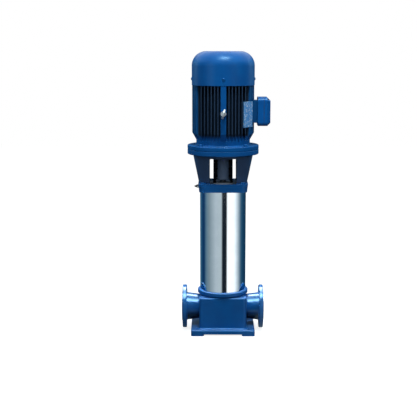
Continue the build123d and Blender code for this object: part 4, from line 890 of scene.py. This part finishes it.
@dataclass(frozen=True, kw_only=True)
class PanScrew(Screw):
    """A pan-head screw with a cross recess."""

    radius: float
    # the recess, as shares of the head's radius and height
    arm: float = 0.14
    reach: float = 0.62
    depth: float = 0.6
    shallow: float = 0.5
    wall: float = 0.45
    dome: tuple[float, ...] = (0.97, 0.9, 0.78, 0.66, 0.6, 0.5, 0.4, 0.3, 0.22, 0.16, 0.12, 0.06)

    def build(self) -> bpy.types.Object:
        """Builds the screw.

        Returns:
            The screw, at the origin, head up.
        """
        arm, reach, depth = self.radius * self.arm, self.radius * self.reach, self.head * self.depth
        rim = ((self.radius, 0.0), (self.radius, self.head * self.wall))
        shell = [*self.shank(), *circles(self.sides, *rim)]
        for share in self.dome:
            ring = circle(self.radius * share, 0.0, self.sides)
            height = self.head * (self.wall + (1 - self.wall) * math.sqrt(1 - share**2))
            for point in ring:
                narrow, wide = sorted((abs(point.x), abs(point.y)))
                cut = depth * (1 - self.shallow * wide / reach) if narrow < arm and wide < reach else 0.0
                point.z = height - cut
            shell.append(ring)
        return mesh_object("pan_screw", skin(shell))


@dataclass(frozen=True, kw_only=True)
class Rivet:
    """A domed drive rivet."""

    radius: float
    head: float
    length: float
    sides: int = 20
    steps: int = 5

    def build(self) -> bpy.types.Object:
        """Builds the rivet.

        Returns:
            The rivet, at the origin, head up.
        """
        leans = [math.pi / 2 * step / self.steps for step in range(self.steps)]
        dome = [(self.radius * math.cos(lean), self.head * math.sin(lean)) for lean in leans]
        pin = [(self.radius / 2, -self.length), (self.radius / 2, 0.0)]
        return mesh_object("rivet", skin(circles(self.sides, *pin, *dome)))


# ------------------------------------------------------------------ patterns
class Layout(Enum):
    """How repeated pieces are laid out."""

    CIRCLE = "circle"
    GRID = "grid"


class Pattern:
    """Lays copies of one fastener out with Geometry Nodes and makes them one mesh."""

    SIZES = {
        Layout.CIRCLE: (("Count", "Int"), ("Circle Radius", "Float"), ("Start Angle", "Float")),
        Layout.GRID: (("Columns", "Int"), ("Rows", "Int"), ("Width", "Float"), ("Depth", "Float")),
    }
    SHARED = (
        ("Fastener", "Object"), ("Own Axis", "Vector"), ("Twist", "Float"), ("Seed", "Int"),
        ("Turn", "Rotation"), ("Place", "Vector"), ("Finish", "Material"),
    )
    # what holds unless a call says otherwise; a sixth of a turn covers every way a hexagon can stop
    USUAL = {
        "Own_Axis": (0.0, 0.0, 1.0), "Twist": math.pi / 3, "Seed": 7, "Turn": Euler((0, 0, 0)),
        "Place": (0.0, 0.0, 0.0),
    }

    def __init__(self, layout: Layout) -> None:
        """Builds the tree once for the layout.

        Args:
            layout: How the copies stand.
        """
        self.tree = bpy.data.node_groups.new(f"fasteners_on_a_{layout.value}", "GeometryNodeTree")
        self.keys: dict[str, str] = {}
        net = Net(self.tree)
        face = self.tree.interface
        for name, kind in (*self.SIZES[layout], *self.SHARED):
            socket = face.new_socket(name=name, in_out="INPUT", socket_type=f"NodeSocket{kind}")
            self.keys[name] = socket.identifier
        face.new_socket(name="Pieces", in_out="OUTPUT", socket_type="NodeSocketGeometry")
        given = net.add("NodeGroupInput").node.outputs
        one = net.add("GeometryNodeObjectInfo", {"Object": given["Fastener"]}, out="Geometry")
        if layout is Layout.CIRCLE:
            ring = net.add("GeometryNodeMeshCircle", {
                "Vertices": given["Count"], "Radius": given["Circle Radius"],
            })
            lean = net.add("CombineXYZ", {2: given["Start Angle"]})
            points = net.add("GeometryNodeTransform", {"Geometry": ring, "Rotation": lean})
            # each piece is turned to face out from the axis
            axes = net.add("SeparateXYZ", net.add("GeometryNodeInputPosition")).node.outputs
            bearing = net.add("Math", axes[1], axes[0], operation="ARCTAN2")
            facing = {"Rotation": net.add("CombineXYZ", {2: bearing})}
        else:
            points = net.add("GeometryNodeMeshGrid", {
                "Size X": given["Width"], "Size Y": given["Depth"],
                "Vertices X": given["Columns"], "Vertices Y": given["Rows"],
            })
            facing = {}
        copies = net.add("GeometryNodeInstanceOnPoints", {"Points": points, "Instance": one, **facing})
        # and then about its own axis by a chance amount, as a spanner leaves it
        span = {2: 0.0, 3: given["Twist"], "Seed": given["Seed"]}
        chance = net.add("FunctionNodeRandomValue", span, out=1, data_type="FLOAT")
        twist = net.add("VectorMath", {0: given["Own Axis"], "Scale": chance}, operation="SCALE")
        turned = net.add("GeometryNodeRotateInstances", {
            "Instances": copies, "Rotation": twist, "Local Space": True,
        })
        moved = net.add("GeometryNodeTransform", {
            "Geometry": turned, "Translation": given["Place"], "Rotation": given["Turn"],
        })
        real = net.add("GeometryNodeRealizeInstances", moved)
        dressed = net.add("GeometryNodeSetMaterial", {"Geometry": real, "Material": given["Finish"]})
        net.add("NodeGroupOutput", {"Pieces": dressed})

    def make(
        self, name: str, fastener: bpy.types.Object, finish: Finish, **sizes: object
    ) -> bpy.types.Object:
        """Lays the copies out.

        Args:
            name: The name of the finished piece.
            fastener: What is repeated; it is removed afterwards.
            finish: Its finish.
            sizes: The tree's inputs by name, with underscores for spaces.

        Returns:
            The finished piece, one mesh at the origin.
        """
        carrier = linked("carrier", bpy.data.meshes.new("carrier"))
        maker = carrier.modifiers.new("pattern", "NODES")
        maker.node_group = self.tree
        values = {**self.USUAL, **sizes, "Fastener": fastener, "Finish": finish.material()}
        for key, value in values.items():
            maker[self.keys[key.replace("_", " ")]] = value
        carrier.update_tag()
        bpy.context.view_layer.update()
        graph = bpy.context.evaluated_depsgraph_get()
        mesh = bpy.data.meshes.new_from_object(carrier.evaluated_get(graph), depsgraph=graph)
        mesh.name = name
        for spare in (carrier, fastener):
            bpy.data.objects.remove(spare)
        return linked(name, mesh)


# ------------------------------------------------------------------ sub-assemblies
@dataclass
class Assembly:
    """A group of the pump's pieces, dressed together."""

    rounds: Pattern
    grids: Pattern

    def dress(self, finish: Finish, *nodes: str) -> None:
        """Gives nodes of the frame a finish.

        Args:
            finish: The finish.
            nodes: The nodes' names.
        """
        for name in nodes:
            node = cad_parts[name]
            for slot in node.material_slots:
                slot.material = finish.material()
            LOG.info("%s: %s", name, finish.name)

    def fit(self, piece: bpy.types.Object, body: str, slot: str, *nodes: str) -> bpy.types.Object:
        """Makes a piece ride on a body in place of the nodes it stands for.

        Args:
            piece: The finished piece.
            body: The body it moves with.
            slot: The record's material slot; not used.
            nodes: The nodes that it replaces, if any.

        Returns:
            The piece.
        """
        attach(piece, body)
        if nodes:
            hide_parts(*nodes)
        LOG.info("%s: %d faces on %s", piece.name, len(piece.data.polygons), body)
        return piece


@dataclass
class PumpBase(Assembly):
    """Foot casting with its two nozzles and the drain plug."""

    def build(self) -> None:
        """Dresses the castings and the plug."""
        self.dress(Finishes.cast_enamel, "base_casting")
        self.dress(Finishes.nozzle_enamel, "port_nozzles")
        self.dress(Finishes.zinc, "drain_plug")


@dataclass
class StageStack(Assembly):
    """Polished sleeve with the stages, the impellers and the tie bolts inside it."""

    stud: HexScrew = HexScrew(
        flats=19 * MM, head=10.8 * MM, thread=6 * MM, length=509 * MM, stud_end=3 * MM, pitch=1.2 * MM,
    )
    stages: int = 5
    circle_radius: float = 81 * MM
    seat: float = 635 * MM

    def build(self) -> None:
        """Dresses the stages and lays the tie bolts out."""
        self.dress(Finishes.polished, "outer_sleeve")
        self.dress(Finishes.rubber, "sleeve_gaskets")
        for i in range(1, self.stages + 1):
            self.dress(Finishes.pressed, f"stage_casing_{i}")
            self.dress(Finishes.turned, f"impeller_{i}")
        self.dress(Finishes.pressed, "outlet_ring")
        self.dress(Finishes.turned, "impeller_spacers", "impeller_nut")
        self.dress(Finishes.ground, "pump_shaft")
        self.dress(Finishes.bronze, "wear_rings", "lower_bearing_bush")
        studs = self.rounds.make(
            "tie_bolts_and_nuts", self.stud.build(), Finishes.zinc, Count=4,
            Circle_Radius=self.circle_radius, Start_Angle=math.pi / 4, Place=(0, 0, self.seat),
        )
        self.fit(studs, "pump", "plated_steel", "tie_bolts")


@dataclass
class PumpHead(Assembly):
    """Head casting with the vent, the seal and the seal's cover."""

    screw: SocketScrew = SocketScrew(
        radius=6.5 * MM, head=8 * MM, thread=4 * MM, length=28 * MM, socket=6 * MM,
    )
    circle_radius: float = 50 * MM

    def build(self) -> None:
        """Dresses the head and sets the cover's screws."""
        self.dress(Finishes.cast_enamel, "pump_head")
        self.dress(Finishes.zinc, "vent_plug")
        self.dress(Finishes.black_steel, "vent_screw")
        self.dress(Finishes.blasted, "seal_cover")
        self.dress(Finishes.carbide, "seal_seat", "seal_ring")
        self.dress(Finishes.rubber, "seal_bellows")
        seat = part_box("seal_cover")[1].z
        screws = self.rounds.make(
            "seal_cover_cap_screws", self.screw.build(), Finishes.black_steel, Count=4,
            Circle_Radius=self.circle_radius, Start_Angle=math.pi / 4, Place=(0, 0, seat), Seed=3,
        )
        self.fit(screws, "pump", "plated_steel", "seal_cover_screws")


@dataclass
class LanternAndCoupling(Assembly):
    """Lantern that carries the motor, and the split coupling inside it."""

    foot_screw: HexScrew = HexScrew(
        flats=19 * MM, head=8 * MM, thread=6 * MM, length=24 * MM, washer=11.5 * MM, washer_height=1.2 * MM,
    )
    clamp_screw: SocketScrew = SocketScrew(
        radius=6.5 * MM, head=8 * MM, thread=4 * MM, length=40 * MM, socket=6 * MM,
    )
    foot_radius: float = 116 * MM
    clamp_offset: float = 29.5 * MM
    clamp_rows: int = 3

    def build(self) -> None:
        """Dresses the lantern and the coupling and sets their screws."""
        self.dress(Finishes.lantern_enamel, "lantern")
        self.dress(Finishes.coupling_paint, "coupling_half_front", "coupling_half_rear")
        self.dress(Finishes.ground, "motor_shaft_key")
        low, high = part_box("lantern_screws")
        feet = self.rounds.make(
            "lantern_hexagon_screws", self.foot_screw.build(), Finishes.cast_enamel, Count=4,
            Circle_Radius=self.foot_radius, Start_Angle=math.pi / 4,
            Place=(0, 0, high.z - self.foot_screw.head), Seed=5,
        )
        self.fit(feet, "pump", "dark_steel", "lantern_screws")
        low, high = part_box("coupling_screws")
        middle, reach = (low + high) / 2, (high.z - low.z) / 2 - self.clamp_screw.radius
        clamps = self.grids.make(
            "coupling_cap_screws", self.clamp_screw.build(), Finishes.black_steel, Columns=2,
            Rows=self.clamp_rows, Width=2 * self.clamp_offset, Depth=2 * reach,
            Turn=Euler((math.pi / 2, 0, 0)), Place=(0, low.y + self.clamp_screw.head, middle.z), Seed=11,
        )
        self.fit(clamps, "rotor", "dark_steel", "coupling_screws")


@dataclass
class Motor(Assembly):
    """Motor with its flange, finned frame, rotor, fan, cowl, eye and nameplate."""

    flange_screw: HexScrew = HexScrew(
        flats=19 * MM, head=8 * MM, thread=6 * MM, length=35 * MM, washer=12 * MM, washer_height=1.4 * MM,
    )
    flange_circle: float = 132.5 * MM
    cowl_screw: PanScrew = PanScrew(radius=6 * MM, head=3.5 * MM, thread=3 * MM, length=12 * MM)
    cowl_radius: float = 131.5 * MM
    rivet: Rivet = Rivet(radius=2.2 * MM, head=1.0 * MM, length=2.5 * MM)
    plate_size: tuple[float, float] = (64 * MM, 106 * MM)
    plate_face: float = 127 * MM
    plate_azimuth: float = -36.0
    rivet_inset: float = 5 * MM

    def build(self) -> None:
        """Dresses the motor and sets its screws and rivets."""
        self.dress(Finishes.fin_enamel, "motor_frame")
        self.dress(Finishes.flange_enamel, "motor_flange")
        self.dress(Finishes.cast_enamel, "rear_end_shield", "end_shield_screws")
        self.dress(Finishes.sheet_enamel, "fan_cowl")
        self.dress(Finishes.ground, "motor_shaft")
        self.dress(Finishes.turned, "bearing_outer_rings", "bearing_inner_rings", "wave_spring")
        self.dress(Finishes.turned, "lower_bearing_balls", "upper_bearing_balls")
        self.dress(Finishes.core, "stator_core", "rotor_core")
        self.dress(Finishes.copper, "stator_windings")
        self.dress(Finishes.fan_plastic, "fan")
        self.dress(Finishes.galvanised, "lifting_eye")
        self.dress(Finishes.plate, "nameplate")
        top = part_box("motor_flange_bolts")[1].z
        bolts = self.rounds.make(
            "motor_flange_hexagon_screws", self.flange_screw.build(), Finishes.cast_enamel, Count=4,
            Circle_Radius=self.flange_circle, Start_Angle=math.pi / 4,
            Place=(0, 0, top - self.flange_screw.head), Seed=2,
        )
        self.fit(bolts, "pump", "blue_paint", "motor_flange_bolts")
        self.cowl_screws()
        self.rivets()

    def cowl_screws(self) -> None:
        """Sets the four screws that hold the cowl, heads outward."""
        low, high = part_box("cowl_screws")
        screw = self.cowl_screw.build()
        screw.data.transform(Euler((0, math.pi / 2, 0)).to_matrix().to_4x4())
        screws = self.rounds.make(
            "cowl_pan_screws", screw, Finishes.sheet_enamel, Count=4, Circle_Radius=self.cowl_radius,
            Start_Angle=0.0, Own_Axis=(1.0, 0.0, 0.0), Place=(0, 0, (low.z + high.z) / 2), Seed=9,
        )
        self.fit(screws, "pump", "plated_steel", "cowl_screws")

    def rivets(self) -> None:
        """Sets a rivet in each corner of the nameplate."""
        low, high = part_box("nameplate")
        turn = math.radians(self.plate_azimuth)
        width, depth = (size - 2 * self.rivet_inset for size in self.plate_size)
        out = Vector((math.cos(turn), math.sin(turn), 0)) * self.plate_face
        # first stood up to face +X, then turned to the plate's own bearing
        stand = Euler((math.pi / 2, 0, math.pi / 2 + turn))
        rivets = self.grids.make(
            "nameplate_rivets", self.rivet.build(), Finishes.zinc, Columns=2, Rows=2, Width=width,
            Depth=depth, Turn=stand, Place=(out.x, out.y, (low.z + high.z) / 2), Seed=4,
        )
        self.fit(rivets, "pump", "plated_steel")


@dataclass
class TerminalBox(Assembly):
    """Terminal box with its lid, seal, screws, block and gland."""

    screw: PanScrew = PanScrew(radius=4.5 * MM, head=3 * MM, thread=2.5 * MM, length=14 * MM)
    corner: float = 16 * MM
    corner_steps: int = 8
    seal_height: float = 1.4 * MM
    seal_proud: float = 0.35 * MM
    seal_shoulder: float = 0.14 * MM
    seal_width: float = 3 * MM

    def build(self) -> None:
        """Dresses the box, lays its seal and sets its screws."""
        self.dress(Finishes.alloy_enamel, "terminal_box", "terminal_box_lid")
        self.dress(Finishes.melamine, "terminal_block")
        self.dress(Finishes.gland_plastic, "cable_gland")
        low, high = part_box("terminal_box_screws")
        spread = (high.y - low.y - 2 * self.screw.radius, high.z - low.z - 2 * self.screw.radius)
        screws = self.grids.make(
            "lid_pan_screws", self.screw.build(), Finishes.zinc, Columns=2, Rows=2, Width=spread[1],
            Depth=spread[0], Turn=Euler((0, math.pi / 2, 0)),
            Place=(high.x - self.screw.head, (low.y + high.y) / 2, (low.z + high.z) / 2), Seed=6,
        )
        self.fit(screws, "pump", "plated_steel", "terminal_box_screws")
        self.fit(self.seal(), "pump", "black_rubber")

    def seal(self) -> bpy.types.Object:
        """Builds the strip of rubber that shows as a dark line between box and lid.

        Returns:
            The strip.
        """
        low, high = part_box("terminal_box_lid")
        middle, reach = (low + high) / 2, (high.y - low.y) / 2 - self.corner
        # the strip's section: how far it stands out of the corner's round, and on which face
        edge = self.seal_height / 2
        section = (
            (-self.seal_width, -edge), (self.seal_shoulder, -edge), (self.seal_proud, 0.0),
            (self.seal_shoulder, edge), (-self.seal_width, edge),
        )
        rings = []
        for out, level in section:
            ring = []
            for quarter in range(4):
                side = math.pi / 2 * quarter + math.pi / 4
                y, z = (math.copysign(reach, share) for share in (math.cos(side), math.sin(side)))
                for step in range(self.corner_steps + 1):
                    turn = math.pi / 2 * (quarter + step / self.corner_steps)
                    bow = Vector((0, math.cos(turn), math.sin(turn))) * (self.corner + out)
                    ring.append(Vector((low.x + level, middle.y + y, middle.z + z)) + bow)
            rings.append(ring)
        strip = mesh_object("lid_seal", skin(rings, looped=True))
        strip.data.materials.append(Finishes.rubber.material())
        return strip


# ------------------------------------------------------------------ studio
WHITE = (1.0, 1.0, 1.0, 1.0)
Stops = tuple[tuple[float, str], ...]
Light = Callable[[Net], Socket]


@dataclass(frozen=True)
class SoftBox:
    """A square soft box."""

    name: str
    place: tuple[float, float, float]
    size: float
    watts: float
    colour: tuple[float, float, float] = (1.0, 1.0, 1.0)

    def hang(self, aim: Vector) -> None:
        """Hangs the box.

        Args:
            aim: The point that it lights.
        """
        lamp = bpy.data.lights.new(self.name, "AREA")
        lamp.shape, lamp.size, lamp.energy, lamp.color = "SQUARE", self.size, self.watts, self.colour
        box = linked(self.name, lamp)
        box.location = self.place
        box.rotation_euler = (aim - Vector(self.place)).to_track_quat("-Z", "Y").to_euler()
        box.visible_camera = False


@dataclass
class Studio:
    """Floor, light and camera round the pump."""

    distance: float = 4.17
    height: float = 1.20
    azimuth: float = -0.54
    pitch: float = 9.17
    aside: float = 0.845
    lens: float = 85.5
    floor_half: float = 8.0
    floor_glow: float = 0.82
    # how pale the floor is to what it lights, and to the lamps
    floor_bounce: float = 0.10
    floor_tone: float = 0.36
    sky_strength: float = 0.75
    # colours of the sky from straight down, by the horizon, to straight up
    sky: tuple[tuple[float, tuple[float, ...]], ...] = (
        (0.0, (0.05, 0.06, 0.08, 1.0)), (0.5, (0.20, 0.22, 0.25, 1.0)), (1.0, WHITE),
    )
    drum_sides: int = 96
    drum_radius: float = 0.5
    drum_base: float = 2 * MM
    drum_top: float = 0.62
    hood_top: float = 1.32
    roof_hole: float = 0.2
    roof_edge: float = 0.42
    drum_level: float = 1.45
    base_level: float = 1.2
    hood_level: float = 0.6
    roof_level: float = 26.0
    # colours of the cards by their bearing in degrees, where 0 is to the front and 90 to the right
    bands: Stops = (
        (-178, "6B7A82"), (-150, "465F6E"), (-133, "2B5572"), (-123, "1F4868"), (-113, "0C3054"),
        (-99, "0C3054"), (-91, "3A5B74"), (-80, "5C7686"), (-67, "6F818A"), (-33, "A1AEB7"),
        (-8, "A5B2B8"), (-2, "121A23"), (15, "121A23"), (21, "FAFDFF"), (50, "F6FBFE"),
        (57, "EAF2F8"), (66, "C6D2D9"), (78, "90A0AB"), (89, "4A6578"), (99, "1F4763"),
        (115, "0F334F"), (160, "0E2A41"), (179, "6B7A82"),
    )
    dark: Stops = (
        (-178, "2A4864"), (-140, "2E74AC"), (-110, "1E5484"), (-70, "12202E"), (0, "10161C"),
        (70, "12202E"), (110, "1E5484"), (140, "2E74AC"), (178, "2A4864"),
    )
    aim: tuple[float, float, float] = (0.0, 0.0, 0.7)
    lamps: tuple[SoftBox, ...] = (
        SoftBox("key_overhead", (0.1, -0.9, 2.8), 0.7, 50.0, (0.82, 0.98, 1.0)),
        SoftBox("front_right", (2.0, -2.4, 1.7), 1.2, 13.0),
        SoftBox("front_left", (-2.2, -2.1, 1.5), 1.2, 10.0),
        SoftBox("rim_right", (1.9, 1.3, 1.5), 0.9, 14.0, (0.42, 0.8, 1.0)),
        SoftBox("rim_left", (-1.9, 1.3, 1.5), 0.9, 14.0, (0.42, 0.8, 1.0)),
    )

    def build(self) -> None:
        """Builds the studio."""
        self.world()
        self.floor()
        self.drum()
        for lamp in self.lamps:
            lamp.hang(Vector(self.aim))
        self.camera()
        LOG.info("studio: floor, drum, lamps and camera")

    def seen(self, net: Net) -> Socket:
        """Adds a switch that is 1 for what the eye, a mirror or a pane shows.

        Args:
            net: The nodes of the floor or the world.

        Returns:
            The switch.
        """
        path = net.add("LightPath").node.outputs
        shown = net.add("Math", path["Is Camera Ray"], path["Is Glossy Ray"], operation="MAXIMUM")
        return net.add("Math", shown, path["Is Transmission Ray"], operation="MAXIMUM")

    def world(self) -> None:
        """Makes the white backdrop and a soft sky that is brighter overhead."""
        world = bpy.data.worlds.new("studio")
        bpy.context.scene.world = world
        world.use_nodes = True
        net = Net(world.node_tree)
        up = net.add("SeparateXYZ", net.add("TexCoord", out="Generated"), out="Z")
        share = net.add("Math", up, 0.5, 0.5, operation="MULTIPLY_ADD")
        light = net.add("Background", net.add("ValToRGB", share, stops=self.sky), self.sky_strength)
        white = net.add("Background", WHITE, 1.0)
        net.add("OutputWorld", net.add("MixShader", self.seen(net), light, white))

    def floor(self) -> None:
        """Lays a pale floor that shows white but keeps the pump's shadow."""
        half = self.floor_half
        corners = [(-half, -half, 0), (half, -half, 0), (half, half, 0), (-half, half, 0)]
        floor = mesh_object("studio_floor", (corners, [(0, 1, 2, 3)]))
        matt, net = new_material("white_studio_floor")
        # matt card takes the shadow; the glow lifts what the eye sees of it to white
        bounce = net.add("LightPath", out="Is Diffuse Ray")
        change = self.floor_bounce - self.floor_tone
        tone = net.add("Math", bounce, change, self.floor_tone, operation="MULTIPLY_ADD")
        card = net.add("BsdfDiffuse", net.add("CombineXYZ", tone, tone, tone))
        level = net.add("Math", self.seen(net), self.floor_glow, operation="MULTIPLY")
        glow = net.add("Emission", WHITE, level)
        net.add("OutputMaterial", net.add("AddShader", card, glow))
        floor.data.materials.append(matt)

    def card(self, name: str, low: tuple[float, float], high: tuple[float, float], light: Light) -> None:
        """Stands a band of card that only shiny parts reflect.

        Args:
            name: The card's name.
            low: The radius and height of its first edge.
            high: The radius and height of its second edge.
            light: Adds the nodes of its light and returns the colour.
        """
        sides = self.drum_sides
        first, second = circles(sides, low, high)
        card = mesh_object(name, (first + second, band(0, sides, sides)))
        paper, net = new_material(name)
        net.add("OutputMaterial", net.add("Emission", light(net), 1.0))
        card.data.materials.append(paper)
        card.visible_camera = card.visible_diffuse = card.visible_shadow = False
        card.visible_transmission = card.visible_volume_scatter = False

    def by_bearing(self, stops: Stops, level: float) -> Light:
        """Makes a light that changes with the bearing.

        Args:
            stops: Bearings in degrees, each with its colour.
            level: What the colours are multiplied by.

        Returns:
            A function that adds its nodes.
        """
        def light(net: Net) -> Socket:
            """Adds the ramp round the axis.

            Args:
                net: The card's nodes.

            Returns:
                The colour.
            """
            axes = net.add("SeparateXYZ", net.add("TexCoord", out="Object")).node.outputs
            front = net.add("Math", axes[1], -1.0, operation="MULTIPLY")
            bearing = net.add("Math", axes[0], front, operation="ARCTAN2")
            share = net.add("Math", bearing, 1 / math.tau, 0.5, operation="MULTIPLY_ADD")
            places = []
            for degrees, code in stops:
                red, green, blue, _ = linear(code)
                places.append(((degrees + 180) / 360, (red * level, green * level, blue * level, 1.0)))
            return net.add("ValToRGB", share, stops=places)

        return light

    def under(self, net: Net) -> Socket:
        """Lights a card's lower side only.

        Args:
            net: The card's nodes.

        Returns:
            The colour.
        """
        back = net.add("NewGeometry", out="Backfacing")
        level = net.add("Math", back, -self.roof_level, self.roof_level, operation="MULTIPLY_ADD")
        return net.add("CombineXYZ", level, level, level)

    def drum(self) -> None:
        """Stands cards round the pump: bands for the sleeve, a dark hood above and a bright roof."""
        foot, rim = (self.drum_radius, self.drum_base), (self.drum_radius, self.drum_top)
        middle = (self.roof_hole / 2, self.drum_base)
        self.card("studio_drum", foot, rim, self.by_bearing(self.bands, self.drum_level))
        self.card("studio_drum_base", foot, middle, self.by_bearing(self.bands, self.base_level))
        hood = self.by_bearing(self.dark, self.hood_level)
        self.card("studio_hood", rim, (self.drum_radius, self.hood_top), hood)
        hole, edge = (self.roof_hole, self.drum_top), (self.roof_edge, self.drum_top)
        self.card("studio_roof", hole, edge, self.under)

    def camera(self) -> None:
        """Sets the camera up."""
        turn = math.radians(self.azimuth)
        data = bpy.data.cameras.new("studio_camera")
        data.lens = self.lens
        camera = linked("studio_camera", data)
        camera.location = (self.distance * math.sin(turn), -self.distance * math.cos(turn), self.height)
        yaw = turn + math.radians(self.aside)
        camera.rotation_euler = (math.radians(90 - self.pitch), 0, yaw)
        bpy.context.scene.camera = camera


def main() -> None:
    """Dresses the pump, group by group, and builds the studio."""
    logging.basicConfig(level=logging.INFO, format="%(message)s")
    rounds, grids = Pattern(Layout.CIRCLE), Pattern(Layout.GRID)
    for group in (PumpBase, StageStack, PumpHead, LanternAndCoupling, Motor, TerminalBox):
        group(rounds, grids).build()
    Studio().build()
    bpy.context.view_layer.update()
    bpy.context.scene.view_settings.view_transform = "Standard"


if __name__ == "__main__":
    main()
